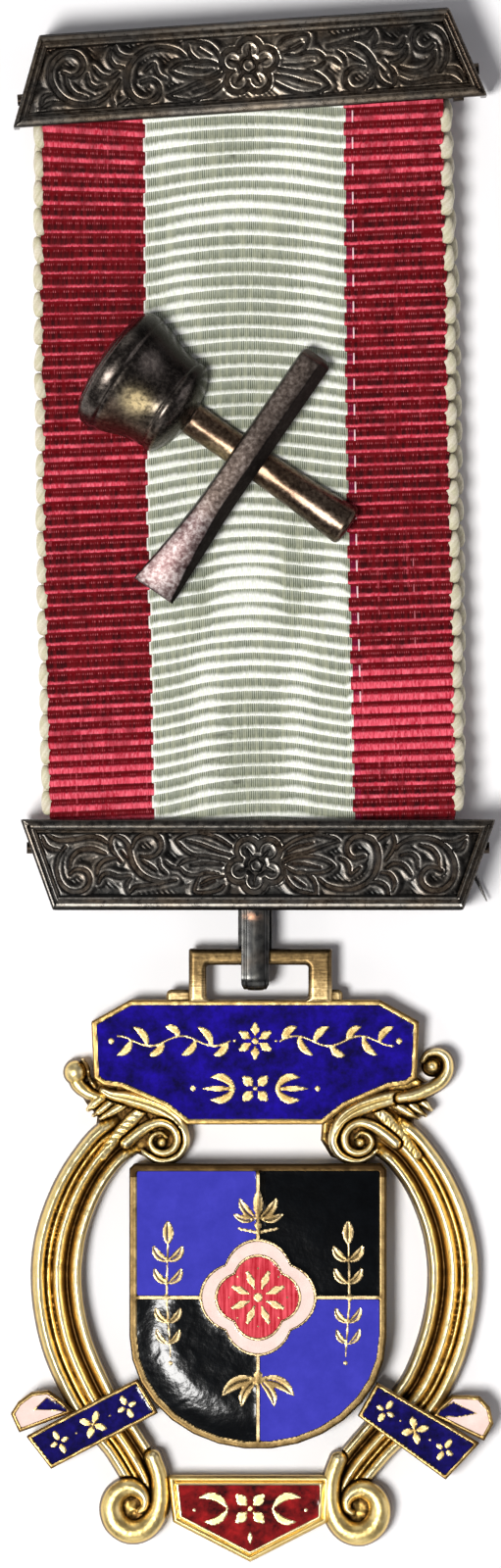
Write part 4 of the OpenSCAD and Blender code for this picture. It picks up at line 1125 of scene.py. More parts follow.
F = Field(-9.9, 10.7, -51.9, -29.1, 0.075)
D = sd_poly(F, S_OUT)
inner = sd_poly(F, S_IN)
cell = F.full(9)
for sx in (-1, 1):
    for sy in (-1, 1):
        cell = np.minimum(cell, quarter(F, sx, sy, inner))
cell = np.minimum(cell, np.maximum(lobed(F, MED_R), -lobed(F, MED_R - 0.9)))
cell = np.minimum(cell, lobed(F, MED_R - 1.2))
lines, discs, holes = [], [], []
# rosette in the medallion
a, b = rosette(MCX, MCY, 8, 2.35, 0.36, 22.5, 0.0)
lines += a
discs.append((MCX, MCY, 0.42))
for i in range(8):
    ang = math.radians(45 * i)
    discs.append((MCX + 2.35 * math.cos(ang) * 0.96, MCY + 2.35 * math.sin(ang) * 0.96, 0.15))
# palmette above the medallion
for ang, ln, w in ((90, 2.6, 0.46), (52, 2.4, 0.42), (128, 2.4, 0.42), (18, 2.1, 0.36), (162, 2.1, 0.36)):
    c, s = math.cos(math.radians(ang)), math.sin(math.radians(ang))
    lines.append(leaf(MCX + 0.35 * c, MCY + 5.9 + 0.35 * s, MCX + ln * c, MCY + 5.9 + ln * s, w, 0.10 * (1 if c < -0.05 else -1 if c > 0.05 else 0)))
discs.append((MCX, MCY + 5.6, 0.36))
lines.append([(MCX - 1.5, MCY + 5.35, 0.16), (MCX, MCY + 5.05, 0.20), (MCX + 1.5, MCY + 5.35, 0.16)])
# sprigs on both sides, across the line between the quarters
for s in (-1, 1):
    x = MCX + s * 7.0
    lines.append([(x, MCY + 4.6, 0.12), (x + 0.12 * s, MCY, 0.16), (x - 0.2 * s, MCY - 4.6, 0.12)])
    lines.append(leaf(x, MCY + 4.2, x, MCY + 6.0, 0.50))
    # a bead ties the stem where it crosses the line
    discs.append((x + 0.12 * s, MCY, 0.34))
    for k, up in enumerate((3.35, 1.60, -1.45, -3.10)):
        y = MCY + up
        g = 1.0 - 0.07 * k
        for h in (-1, 1):
            lines.append(leaf(x + 0.05 * h, y - 0.5, x + 1.15 * h * g, y + 0.75, 0.42 * g, -0.15 * h))
    discs.append((x - 0.2 * s, MCY - 5.1, 0.24))
# leaves and bud at the foot
for ang, ln, w in ((-28, 3.2, 0.56), (-152, 3.2, 0.56), (-62, 2.7, 0.44), (-118, 2.7, 0.44)):
    c, s = math.cos(math.radians(ang)), math.sin(math.radians(ang))
    lines.append(leaf(MCX + 0.3 * c, MCY - 6.2 + 0.3 * s, MCX + ln * c, MCY - 6.2 + ln * s, w, 0.14 * (1 if c > 0 else -1)))
discs.append((MCX, MCY - 6.0, 0.40))
orn = marks(F, lines, discs)
veins = marks(F, [np.column_stack([r[1:-1, :2], np.full(len(r) - 2, 0.045)]) for r in lines if isinstance(r, np.ndarray)])
H = F.full(2.9) - 0.14 * (1 - np.sqrt(np.clip(1 - (1 - np.clip(-D / 0.14, 0, 1)) ** 2, 0, 1)))
H += 0.02 * (value_noise(F.X * 1.7, F.Y * 1.7, 81) - 0.5)
floor_z = 2.2 + 0.03 * np.sin(F.X * 2 * np.pi / 0.36) * (lobed(F, MED_R - 1.0) < 0)
H -= (H - floor_z) * smooth(-cell / 0.10 + 0.5)
H = np.maximum(H, 2.2 + 0.685 * smooth(-orn / 0.12 + 0.5) - 0.05 * smooth(-veins / 0.06 + 0.5) * (orn < 0))
# painted shade: the outer rim of the frame is darkened all round, most along its top edge
edge = smooth((D + 0.95) / 0.25)
edge = edge * np.where(F.Y > -29.1 - 1.3, -0.75, -0.22)
gilt_piece(relief("shield_frame", F, D, H, 0.9, M_BRONZE, sharp=60, extra={"tone": edge}, cav_n=4))
Fc = Field(-9.9, 10.7, -51.9, -29.1, 0.15)
ic = sd_poly(Fc, S_IN)
for name, sx, sy, mat, slot in (("shield_blue_upper", -1, 1, M_BLUE, "enamel_blue"), ("shield_blue_lower", 1, -1, M_BLUE, "enamel_blue"),
                                ("shield_black_upper", 1, 1, M_BLACK, "enamel_black"), ("shield_black_lower", -1, -1, M_BLACK, "enamel_black")):
    enamel(name + "_pool", name, Fc, quarter(Fc, sx, sy, ic) - 0.03, 2.2, 2.85, mat, slot, 0.024)
enamel("shield_ring_pool", "shield_white_ring", Fc, np.maximum(lobed(Fc, MED_R), -lobed(Fc, MED_R - 0.9)) - 0.03, 2.2, 2.85, M_PINK, "enamel_pink_white", 0.01)
enamel("shield_centre_pool", "shield_red_centre", Fc, lobed(Fc, MED_R - 1.2) - 0.03, 2.22, 2.85, M_RED, "enamel_red", 0.02)

# ---------------------------------------------------------------- bail
F = Field(-7.2, 7.4, -17.3, -12.3, 0.075)


def box2(x0, x1, y0, y1, r=0.0):
    dx = np.abs(F.X - (x0 + x1) / 2) - (x1 - x0) / 2 + r
    dy = np.abs(F.Y - (y0 + y1) / 2) - (y1 - y0) / 2 + r
    return np.hypot(np.maximum(dx, 0), np.maximum(dy, 0)) + np.minimum(np.maximum(dx, dy), 0) - r


ring = np.maximum(box2(-4.97, 6.2, -17.3, -12.65, 0.18), -box2(-3.56, 4.33, -16.62, -13.94, 0.25))
ring = np.maximum(ring, -16.9 - F.Y)
feet = np.minimum(box2(-6.7, -3.6, -17.2, -15.85, 0.40), box2(4.3, 7.0, -17.2, -15.85, 0.40))
feet = np.maximum(feet, -16.9 - F.Y)
D = np.minimum(ring, feet)
e = np.clip(-ring, 0, None)
H = np.where(ring < 0, 2.42 - 0.42 * (1 - np.sqrt(np.clip(1 - (1 - np.clip(e / 0.42, 0, 1)) ** 2, 0, 1))), 1.95 - 0.25 * (1 - smooth(-feet / 0.2)))
H = np.where((ring < 0) | (feet > 0), H, np.maximum(H, 1.95 - 0.25 * (1 - smooth(-feet / 0.2))))
H += 0.012 * (value_noise(F.X * 3.0, F.Y * 3.0, 91) - 0.5)
low = 0.34 * smooth((-14.4 - F.Y) / 1.4) - 0.10 * smooth((F.Y + 13.6) / 0.5)
gilt_piece(relief("bail", F, D, H, 1.2, M_BAIL, sharp=60, extra={"tone": low}, cav_n=4))

# =====================================================================
# Ribbon: one closed band of two plies round the bars' cross rods
# =====================================================================
RIB_W2 = 16.2
RIB_YB = SUSP_C[1] + 1.3
RIB_T = (BROOCH_C[0] + 1.3 * math.sin(math.radians(BROOCH_TILT)), BROOCH_C[1] - 1.3 * math.cos(math.radians(BROOCH_TILT)))
ROD_Z, TURN_R = 3.3, 1.0
RED_L, RED_R = -7.68, 7.88


def ribbon_x(y):
    return 0.017 - 0.0139 * (y + 4.81)


def top_y(e):
    return RIB_T[1] + math.tan(math.radians(BROOCH_TILT)) * (ribbon_x(RIB_T[1]) + e * RIB_W2 - RIB_T[0])


def ply_rows(nf, nb, nl):
    """Place along the ply, push past the rod and height, once round the loop."""
    t = np.arange(nf) / nf
    rows = [np.stack([t, 0 * t, 2.3 + np.abs(2 * t - 1) ** 3 + 0.8 + 0.2 * np.abs(2 * t - 1) ** 4], 1)]
    a = np.pi * np.arange(nl) / nl
    rows.append(np.stack([0 * a + 1, TURN_R * np.sin(a), ROD_Z + TURN_R * np.cos(a)], 1))
    t = 1 - np.arange(nb) / nb
    rows.append(np.stack([t, 0 * t, 2.3 + np.abs(2 * t - 1) ** 3 - 0.8 - 0.2 * np.abs(2 * t - 1) ** 4], 1))
    rows.append(np.stack([0 * a, -TURN_R * np.sin(a), ROD_Z - TURN_R * np.cos(a)], 1))
    return np.concatenate(rows)


# rib spacing by height, and how far the ribs rise in the middle stripe
def down(y):
    """Height for a place counted down the layout sheet."""
    return (802.0 - y) * U


RIB_AT = np.linspace(-8, 60, 1361)
RIB_PITCH = np.interp(RIB_AT, [-4, 5, 25, 43, 51, 56], [0.985, 1.01, 1.02, 1.041, 1.09, 1.09])
RIB_COUNT = np.concatenate([[0], np.cumsum(0.05 / RIB_PITCH[:-1])])
RIB_COUNT += 0.10 - np.interp(43.0, RIB_AT, RIB_COUNT) + 60


def rib_phase(x, y):
    """Number of ribs below a point; x is taken from the ribbon's middle line."""
    sl = np.interp(y, [down(v) for v in (830, 700, 500, 370, 240, 120)], [0.045, 0.05, 0.04, 0.03, 0.0, -0.06])
    sr = np.interp(y, [down(v) for v in (830, 700, 500, 300, 100)], [0.03, 0.04, 0.035, 0.04, 0.05])
    bow = np.interp(y, [down(v) for v in (840, 790, 730, 680, 620, 260, 200, 165, 130, 100)], [0.95, 1.0, 1.05, 1.0, 0.85, 0.85, 0.80, 0.78, 0.60, 0.45])
    tilt = np.interp(y, [down(v) for v in (812, 762, 711, 660, 600, 445, 394, 340, 290, 230, 173, 118)], [0.70, 0.45, 0.28, 0.30, 0.42, 0.40, 0.25, 0.12, 0.03, 0.12, 0.30, 0.10])
    mid = (RED_L + RED_R) / 2
    u = np.clip((x - mid) / (RED_R - mid), -1, 1)
    rise = bow * (1 - u * u) ** 1.5 + tilt * (u + 1) / 2
    rise = rise + np.interp(y, [down(v) for v in (820, 700, 600)], [0.18, 0.10, 0.05])
    rise = rise + sl * np.minimum(x - RED_L, 0) + sr * np.maximum(x - RED_R, 0)
    return np.interp(y - rise, RIB_AT, RIB_COUNT)


# painted sheen of the ribs, from a thin line to a broad band: down the left and right stripes
SHEEN_L = ([110, 135, 165, 200, 240, 300, 360, 420, 470, 500, 530, 600, 680, 720, 760, 800, 840], [0.46, 0.44, 0.32, 0.26, 0.10, 0.05, 0.05, 0.12, 0.32, 0.30, 0.12, 0.08, 0.10, 0.30, 0.45, 0.62, 0.4])
SHEEN_R = ([90, 120, 165, 190, 215, 250, 330, 400, 500, 570, 640, 670, 700, 740, 770, 795, 840], [0.34, 0.42, 0.40, 0.28, 0.12, 0.18, 0.20, 0.14, 0.12, 0.08, 0.20, 0.40, 0.68, 0.78, 0.60, 0.30, 0.20])
# painted sheen of the watered patches in the middle stripe: across and down the sheet, their spans, their weight
WATER_SHEEN = [(172, 150, 26, 24, 0.50), (300, 165, 42, 40, 0.42), (235, 212, 48, 20, 0.48), (188, 215, 22, 18, 0.20), (330, 240, 22, 40, 0.30),
         (184, 300, 18, 66, 0.42), (320, 330, 20, 74, 0.42), (335, 400, 16, 40, 0.25), (172, 480, 20, 26, 0.35), (225, 515, 44, 22, 0.40),
         (250, 594, 34, 58, 0.85), (341, 600, 15, 52, 0.65), (172, 560, 14, 20, 0.30), (165, 640, 10, 30, 0.30), (210, 700, 16, 50, 0.60), (304, 690, 16, 56, 0.60),
         (208, 790, 15, 42, 0.48), (304, 790, 15, 44, 0.50), (255, 684, 26, 14, 0.30), (170, 770, 14, 50, 0.15), (340, 770, 16, 50, 0.20),
         (298, 596, 11, 56, -0.62), (206, 600, 10, 45, -0.50), (240, 150, 36, 16, -0.20), (250, 300, 40, 60, -0.12), (255, 772, 28, 64, -0.20), (262, 425, 50, 34, -0.18)]
STAINS = [(237, 157, 2.5, 5, 0.9), (262, 645, 9, 2, 0.8), (243, 655, 7, 2, 0.9), (214, 644, 4, 2, 0.7), (268, 668, 6, 3, 0.6), (222, 725, 14, 10, 0.5), (232, 752, 18, 10, 0.55), (180, 738, 12, 8, 0.4),
          (225, 780, 16, 14, 0.6), (240, 800, 12, 10, 0.5), (275, 700, 22, 6, 0.4), (176, 770, 14, 8, 0.35)]


def sway(rel, y):
    """How far the worn ribbon stands off its straight run, and how its edges spread."""
    s = np.interp(y, [down(v) for v in (800, 710, 670, 590, 510, 400, 310, 230, 190, 110)], [-0.01, -0.01, -0.05, -0.14, -0.165, -0.15, -0.12, -0.06, -0.03, 0.03])
    el = np.interp(y, [down(v) for v in (835, 790, 650, 520, 400, 290, 230, 150)], [-0.05, -0.12, -0.18, -0.14, -0.06, -0.18, -0.04, 0.05])
    er = np.interp(y, [down(v) for v in (835, 790, 700, 630, 550, 400, 290, 230, 150)], [0.08, 0.17, 0.14, 0.27, 0.25, 0.13, 0.17, 0.0, -0.10])
    return s + el * np.clip((RED_L - rel) / (15.6 + RED_L), 0, 1) + er * np.clip((rel - RED_R) / (15.6 - RED_R), 0, 1)


def patches(x, y, table, base=0.0):
    px = x / U + 257.7 + 0 * y
    py = 802.0 - y / U
    out = base + 0 * px
    for cx, cy, sx, sy, w in table:
        out = out + w * np.exp(-((px - cx) / sx) ** 2 - ((py - cy) / sy) ** 2)
    return out


# ribs, counted in pairs, at which two cord lumps meet on each edge
GAP_L, GAP_R = 1.80, 0.80


def ribbon():
    nf, nb, nl = 700, 470, 14
    rows = ply_rows(nf, nb, nl)
    n = len(rows)
    # columns, with one on each of the stripes' joins
    rel = np.concatenate([np.linspace(-15.62, RED_L, 16), np.linspace(RED_L, RED_R, 33)[1:], np.linspace(RED_R, 15.62, 16)[1:]])
    nx = len(rel)
    e = rel / RIB_W2
    y = RIB_YB + (top_y(e)[None, :] - RIB_YB) * rows[:, :1] + rows[:, 1:2]
    z = np.repeat(rows[:, 2:3], nx, 1)
    ty, tz = np.roll(y, -1, 0) - np.roll(y, 1, 0), np.roll(z, -1, 0) - np.roll(z, 1, 0)
    ln = np.hypot(ty, tz)
    ny, nz = -tz / ln, ty / ln
    k = np.arange(n)
    front = (k < nf + nl // 2) | (k >= n - nl // 2)
    shift = np.where(front, 0, 0.42 * np.sin(np.pi * np.clip(rows[:, 0], 0, 1)))
    ph = rib_phase(rel[None, :], y)
    crest = np.abs(np.sin(np.pi * (ph + 0.08))) ** 0.7
    # lies a little uneven, as worn cloth does
    wave = 0.05 * (value_noise(rel[None, :] * 0.22 + 5 + 0 * y, y * 0.16 + 9, 101) - 0.5)
    turn = np.clip(1.6 - 1.6 * np.abs(2 * rows[:, :1] - 1) ** 14, 0, 1)
    off = 0.45 - 0.17 * (1 - crest) * (0.35 + 0.65 * turn) + wave * turn
    edge = np.zeros(nx)
    edge[[0, -1]] = 1.0
    gap = np.where(rel < 0, GAP_L, GAP_R)[None, :]
    notch = 0.055 * np.cos(np.pi * (ph - gap)) * edge[None, :] * np.sign(rel)[None, :]
    x = ribbon_x(y) + rel[None, :] + shift[:, None] + sway(rel[None, :], y) + notch
    out = np.stack([x, y + ny * off, z + nz * off], -1)
    inn = np.stack([x[:, [0, -1]], (y - ny * 0.05)[:, [0, -1]], (z - nz * 0.05)[:, [0, -1]]], -1)
    verts = np.concatenate([out.reshape(-1, 3), inn.reshape(-1, 3)])
    base = n * nx
    q = [grid_faces(n, nx, close_u=True, flip=True)]
    i, j = np.arange(n), (np.arange(n) + 1) % n
    q.append(np.stack([i * nx, j * nx, base + 2 * j, base + 2 * i], 1)[:, ::-1])
    q.append(np.stack([j * nx + nx - 1, i * nx + nx - 1, base + 2 * i + 1, base + 2 * j + 1], 1)[:, ::-1])
    q.append(np.stack([base + 2 * i, base + 2 * j, base + 2 * j + 1, base + 2 * i + 1], 1)[:, ::-1])
    q = np.concatenate(q)
    py = 802.0 - y / U
    # painted sheen: how broad each rib's painted band of light is, at each point
    side = np.where(rel[None, :] < 0, np.interp(py, *SHEEN_L), np.interp(py, *SHEEN_R))
    side = side + 0.16 * (value_noise(rel[None, :] * 0.35 + 0 * y, ph * 0.5, 103) - 0.5)
    sheen = np.where((rel[None, :] > RED_L) & (rel[None, :] < RED_R), patches(x, y, WATER_SHEEN, 0.20), side)
    ins = np.stack([np.concatenate([a.ravel(), a[:, [0, -1]].ravel()]) for a in (np.repeat(rel[None, :], n, 0), ph, np.clip(sheen, 0, 1), patches(x, y, STAINS))])
    attrs = {"rx": ins[0], "rv": ins[1], "sheen": ins[2], "stain": ins[3]}
    return make_mesh("ribbon_band", verts, q.ravel(), np.full(len(q), 4), attrs, 60, [M_RIBBON])


def ribbon_mat():
    m = Mat("ribbon_stripes_painted_sheen", Roughness=0.6)
    m.b.inputs["Specular IOR Level"].default_value = 0.08
    rx, rv, sh, stain = m.attr("rx"), m.attr("rv"), m.attr("sheen"), m.attr("stain")
    phi = m.math("FRACT", rv)
    rib = m.math("FLOOR", rv)

    def weave(ax, av, ar=0.0, detail=2, rough=0.5):
        c = m.nt.nodes.new("ShaderNodeCombineXYZ")
        m.link(m.math("MULTIPLY", rx, ax), c.inputs[0])
        m.link(m.math("MULTIPLY", rv, av), c.inputs[1])
        if ar:
            m.link(m.math("MULTIPLY", rib, ar), c.inputs[2])
        return m.noise(1.0, detail, rough, c.outputs[0])

    thread = weave(5.2, 0.9, 3.7, 2, 0.6)
    fine = weave(11.0, 2.2, 0.0, 1, 0.5)
    streak = weave(3.4, 0.16)
    broken = weave(0.75, 0.0, 7.3)
    wob = m.math("MULTIPLY", m.math("SUBTRACT", thread, 0.5), 0.30)
    warp = m.math("SINE", m.math("MULTIPLY", rx, 2 * math.pi / 0.165))
    warp01 = m.math("MULTIPLY_ADD", warp, 0.5, 0.5)
    edge = m.math("MULTIPLY_ADD", sh, 0.60, 0.10)
    over = m.math("SUBTRACT", m.math("ADD", phi, wob), edge)
    # red: a painted band of light on each rib from its lower edge, as broad as the painted sheen, over painted shade on
    # the rest of the rib
    lo = m.range(m.math("MULTIPLY_ADD", wob, 0.30, phi), 0.0, 0.06)
    hi = m.range(over, -0.05, 0.12, 1.0, 0.0)
    full = m.math("MAXIMUM", m.range(broken, 0.36, 0.54, 0.35, 1.0), m.range(sh, 0.3, 0.6))
    band = m.math("MULTIPLY", m.math("MULTIPLY", lo, hi), full)
    rib_painted_shade = m.ramp(phi, [(0.0, lin(92, 4, 12)), (0.24, lin(70, 2, 8)), (0.36, lin(50, 1, 5)), (0.60, lin(60, 2, 7)), (0.76, lin(102, 7, 15)), (0.98, lin(96, 5, 13))])
    rib_painted_shade = m.mix(m.range(streak, 0.38, 0.62, 0.0, 0.55), rib_painted_shade, lin(122, 10, 20))
    rib_painted_shade = m.mix(m.range(sh, 0.25, 0.9, 0.0, 0.55), rib_painted_shade, m.mix(m.range(phi, 0.70, 0.84), lin(146, 18, 36), lin(70, 2, 8)))
    rib_painted_highlight = m.mix(m.range(thread, 0.34, 0.62), lin(184, 32, 54), lin(240, 92, 112))
    rib_painted_highlight = m.mix(m.range(fine, 0.52, 0.66, 0.0, 0.5), rib_painted_highlight, lin(255, 140, 156))
    red = m.mix(band, rib_painted_shade, rib_painted_highlight)
    # short stitches above the groove, one to each warp thread
    stitch = m.math("MULTIPLY", m.range(phi, 0.62, 0.68), m.range(phi, 0.74, 0.84, 1.0, 0.0))
    dots = m.math("MULTIPLY", stitch, m.math("MULTIPLY", m.math("POWER", warp01, 3.0), m.range(thread, 0.44, 0.60)))
    dots = m.math("MULTIPLY", dots, m.range(sh, 0.3, 0.7, 1.0, 0.35))
    red = m.mix(m.math("MULTIPLY", dots, 0.72), red, lin(232, 126, 134))
    # a few warp threads catch the light over many ribs
    few = m.math("MULTIPLY", m.range(weave(4.1, 0.07, 0.0, 1), 0.66, 0.74), m.range(phi, 0.55, 0.70))
    red = m.mix(m.math("MULTIPLY", few, 0.45), red, lin(224, 96, 110))
    # white: painted shade across most of each rib, and a painted band of light from its lower edge as broad as the
    # painted sheen
    dash = m.math("MULTIPLY", warp01, m.range(fine, 0.30, 0.55, 0.6, 1.0))
    shade = m.mix(dash, lin(72, 79, 60), lin(170, 175, 154))
    pale = m.mix(dash, lin(98, 105, 88), lin(206, 211, 195))
    shade = m.mix(m.range(phi, 0.45, 0.95), shade, pale)
    shade = m.mix(m.range(streak, 0.45, 0.65, 0.0, 0.5), shade, lin(186, 188, 160))
    zig = m.math("MULTIPLY_ADD", wob, 0.9, m.math("MULTIPLY", m.math("SUBTRACT", warp01, 0.5), 0.07))
    soft = m.range(m.math("SUBTRACT", m.math("ADD", phi, zig), edge), -0.09, 0.22, 1.0, 0.0)
    wband = m.math("MULTIPLY", m.range(m.math("ADD", phi, m.math("MULTIPLY", zig, 0.25)), 0.0, 0.05), soft)
    glint = m.mix(m.range(fine, 0.42, 0.58), lin(236, 240, 226), lin(255, 255, 250))
    white = m.mix(wband, shade, glint)
    speck = m.math("MULTIPLY", m.range(m.noise(1.6, 3, 0.6), 0.46, 0.60), m.range(phi, 0.55, 0.75))
    white = m.mix(m.math("MULTIPLY", m.math("MULTIPLY", stain, speck), 1.0, clamp=True), white, lin(48, 46, 34))
    # the stripes meet in steps, rib by rib
    two = m.math("FRACT", m.math("MULTIPLY", rv, 0.5))
    step = m.range(two, 0.47, 0.50, -0.085, 0.085)
    step = m.math("ADD", step, m.math("MULTIPLY", m.range(two, 0.97, 1.0), -0.17))
    l = m.range(m.math("SUBTRACT", rx, m.math("ADD", step, RED_L)), -0.02, 0.02)
    r = m.range(m.math("SUBTRACT", rx, m.math("SUBTRACT", RED_R, step)), -0.02, 0.02, 1.0, 0.0)
    brim = m.math("MULTIPLY", m.range(m.math("ABSOLUTE", m.math("SUBTRACT", rx, m.math("ADD", step, RED_L + 0.07))), 0.04, 0.08, 1.0, 0.0), 0.75)
    white = m.mix(brim, white, lin(250, 246, 238))
    col = m.mix(m.math("MULTIPLY", l, r), red, white)
    # pale stitches in the right stripe, each on every second rib
    geo = m.nt.nodes.new("ShaderNodeSeparateXYZ")
    m.link(m.mm, geo.inputs[0])
    yy = geo.outputs[1]
    dph = m.math("FRACT", m.math("ADD", m.math("MULTIPLY", rv, 0.5), DASH))
    on = m.math("MULTIPLY", m.range(dph, 0.03, 0.05), m.range(dph, 0.46, 0.48, 1.0, 0.0))
    tint = m.math("MULTIPLY", on, m.math("MULTIPLY", m.range(rx, RED_R + 0.08, RED_R + 0.14), m.range(rx, 8.40, 8.46, 1.0, 0.0)))
    col = m.mix(m.math("MULTIPLY", tint, 0.2), col, lin(160, 16, 90))
    here = m.math("MULTIPLY", m.range(m.math("ABSOLUTE", m.math("SUBTRACT", rx, 8.50)), 0.045, 0.065, 1.0, 0.0), m.math("MULTIPLY", m.range(yy, 6.3, 6.5), m.range(yy, 52.4, 52.6, 1.0, 0.0)))
    col = m.mix(m.math("MULTIPLY", m.math("MULTIPLY", on, here), 0.85), col, lin(250, 214, 218))
    on2 = m.math("MULTIPLY", m.range(m.math("ABSOLUTE", m.math("SUBTRACT", rx, 12.75)), 0.03, 0.05, 1.0, 0.0), m.math("MULTIPLY", m.range(two, 0.1, 0.12), m.range(two, 0.40, 0.42, 1.0, 0.0)))
    on2 = m.math("MULTIPLY", on2, m.math("MULTIPLY", m.range(yy, 10.0, 10.5), m.range(yy, 18.4, 18.9, 1.0, 0.0)))
    col = m.mix(m.math("MULTIPLY", on2, 0.5), col, lin(240, 140, 150))
    m.set("Base Color", col)
    m.set("Normal", m.bump(m.math("MULTIPLY", warp01, 0.5), 0.35, 0.03, m.bump(thread, 0.3, 0.04)))
    return m.m


DASH = 0.055
M_RIBBON = ribbon_mat()
ribbon_ob = ribbon()


def picot_mat():
    m = Mat("ribbon_picots", Roughness=0.75)
    m.b.inputs["Specular IOR Level"].default_value = 0.2
    m.b.inputs["Sheen Weight"].default_value = 0.2
    n1, n2 = m.noise(1.1, 3, 0.6), m.noise(9.0, 3, 0.6)
    # painted shade: darker where 'cav' is low, in the strands' grooves and towards both ends of each lump
    v = m.math("MULTIPLY_ADD", m.attr("cav"), 0.85, 0.05)
    v = m.math("ADD", v, m.math("MULTIPLY_ADD", n2, 0.4, -0.2), clamp=True)
    a = m.ramp(v, [(0.0, lin(84, 72, 54)), (0.35, lin(146, 136, 112)), (0.7, lin(206, 196, 172)), (1.0, lin(242, 236, 220))])
    b = m.ramp(v, [(0.0, lin(84, 76, 54)), (0.35, lin(144, 138, 108)), (0.7, lin(200, 194, 162)), (1.0, lin(238, 232, 210))])
    m.set("Base Color", m.mix(m.range(n1, 0.4, 0.6), a, b))
    m.set("Normal", m.bump(n2, 0.5, 0.04))
    return m.m


M_PICOT = picot_mat()


def picots():
    """Lumps of twisted cord, one to each pair of ribs, along both edges of both plies."""
    nu, nv = 14, 16
    u = np.linspace(0.0, np.pi, nu + 1)[1:-1]
    a = np.arange(nv) * 2 * np.pi / nv
    ys = np.arange(-2.4, 54.0, 0.05)
    verts, faces, cav = [], [], []
    count = 0
    pr = np.random.default_rng(23)
    for back in (False, True):
        for side in (-1, 1):
            rv = rib_phase(side * 15.6 + 0 * ys, ys) - (GAP_L if side < 0 else GAP_R) - (0.70 if back else 0.0)
            first, last = math.ceil(rv[0] / 2), math.floor(rv[-1] / 2)
            for j in range(first, last):
                y0, y1 = np.interp(2 * j, rv, ys), np.interp(2 * j + 2, rv, ys)
                yc = (y0 + y1) / 2
                if yc > 53.1 + 1.1 * side:
                    break
                t = (yc - RIB_YB) / (top_y(side * 0.97) - RIB_YB)
                bend = abs(2 * t - 1)
                zc = 2.3 + bend ** 3 + (-1 if back else 1) * (0.8 + 0.2 * bend ** 4 + 0.03)
                over = float(sway(np.array(side * 15.6), np.array(yc)))
                if side < 0:
                    over *= 0.6
                xc = ribbon_x(yc) + over + side * (15.78 if side > 0 else 15.86) + (0.42 * math.sin(math.pi * t) if back else 0)
                hl = (y1 - y0) * 0.48 + 0.03 * pr.standard_normal()
                hw = (0.54 if side > 0 else 0.47) + 0.02 * pr.standard_normal()
                lean_a = math.radians((0 if side > 0 else 6) + 3 * pr.standard_normal())
                s = np.sin(u)[:, None] ** 0.68
                # egg: fuller at its lower end
                full = 1.0 + 0.14 * np.cos(u)[:, None]
                turn = a[None, :] + 1.5 * u[:, None] + pr.uniform(0, 3)
                strand = 1 - 2 * np.abs(np.cos(1.5 * turn)) ** 6
                ply = np.cos(7 * turn) * 0.5 + 0.5
                rad = s * full * (1 + 0.016 * strand + 0.018 * ply)
                lx = hw * rad * np.cos(a)[None, :]
                lz = 0.42 * rad * np.sin(a)[None, :]
                ly = np.repeat(-hl * np.cos(u)[:, None], nv, 1)
                gx = lx * math.cos(lean_a) - ly * math.sin(lean_a)
                gy = lx * math.sin(lean_a) + ly * math.cos(lean_a)
                # each lump's upper end is tucked under the one before
                p = np.stack([xc + gx, yc + gy, zc + lz - 0.10 * ly * (-1 if back else 1)], -1).reshape(-1, 3)
                ends = np.array([[xc + hl * math.sin(lean_a), yc - hl * math.cos(lean_a), zc + 0.10 * hl * (-1 if back else 1)], [xc - hl * math.sin(lean_a), yc + hl * math.cos(lean_a), zc - 0.10 * hl * (-1 if back else 1)]])
                k = nu - 1
                verts += [p, ends]
                # 'cav' of the cord is painted shade: low in the strand and ply grooves and towards both ends of each
                # lump
                cav += [((0.92 + 0.08 * strand) * (0.82 + 0.18 * ply) * np.sin(u)[:, None] ** 0.35 + 0 * rad).ravel(), np.array([0.1, 0.1])]
                q = grid_faces(k, nv, close_v=True, flip=True) + count
                f = [tuple(r) for r in q]
                lo, hi = count + k * nv, count + k * nv + 1
                f += [(lo, count + (i + 1) % nv, count + i) for i in range(nv)]
                f += [(hi, count + (k - 1) * nv + i, count + (k - 1) * nv + (i + 1) % nv) for i in range(nv)]
                faces += f
                count += k * nv + 2
    verts = np.concatenate(verts)
    loops = np.concatenate([np.array(f) for f in faces])
    totals = np.array([len(f) for f in faces])
    return make_mesh("ribbon_picots", verts, loops, totals, {"cav": np.concatenate(cav)}, None, [M_PICOT])


picot_ob = picots()
for ob in (ribbon_ob, picot_ob):
    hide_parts("ribbon")
    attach(ob, "root")

# =====================================================================
# Emblem: half-round mallet under a square chisel
# =====================================================================
EMB_Z = 3.76
MAL_AT, MAL_DIR, MAL_R, MAL_L = (-11.64, 33.32), -34.7, 5.1, 22.9
MALLET = [(0.00, 0.0), (0.04, 0.9), (0.10, 1.60), (0.20, 2.35), (0.32, 3.00), (0.47, 3.65), (0.62, 4.15), (0.76, 4.42), (0.84, 4.50), (0.90, 4.62), (1.05, 4.85), (1.25, 4.98), (1.45, 5.05), (1.85, 5.10), (2.15, 5.09),
          (2.36, 5.04), (2.50, 4.93), (2.66, 4.90), (2.95, 4.86), (3.60, 4.64), (4.30, 4.34), (4.90, 4.15), (5.40, 4.04), (5.90, 3.97), (6.25, 3.95), (6.38, 3.93), (6.48, 3.90), (6.62, 3.99), (6.85, 4.02), (7.08, 3.97), (7.22, 3.90),
          (7.40, 3.74), (7.62, 3.45), (7.86, 3.00), (8.06, 2.50), (8.22, 1.95), (8.32, 1.50), (8.42, 1.34), (8.8, 1.30), (11.0, 1.25), (14.5, 1.28), (17.0, 1.35), (19.0, 1.42), (21.0, 1.54), (22.65, 1.63), (22.90, 1.62), (23.05, 1.56), (23.17, 1.42), (23.24, 1.26),
          (23.27, 0.9), (23.28, 0.0)]


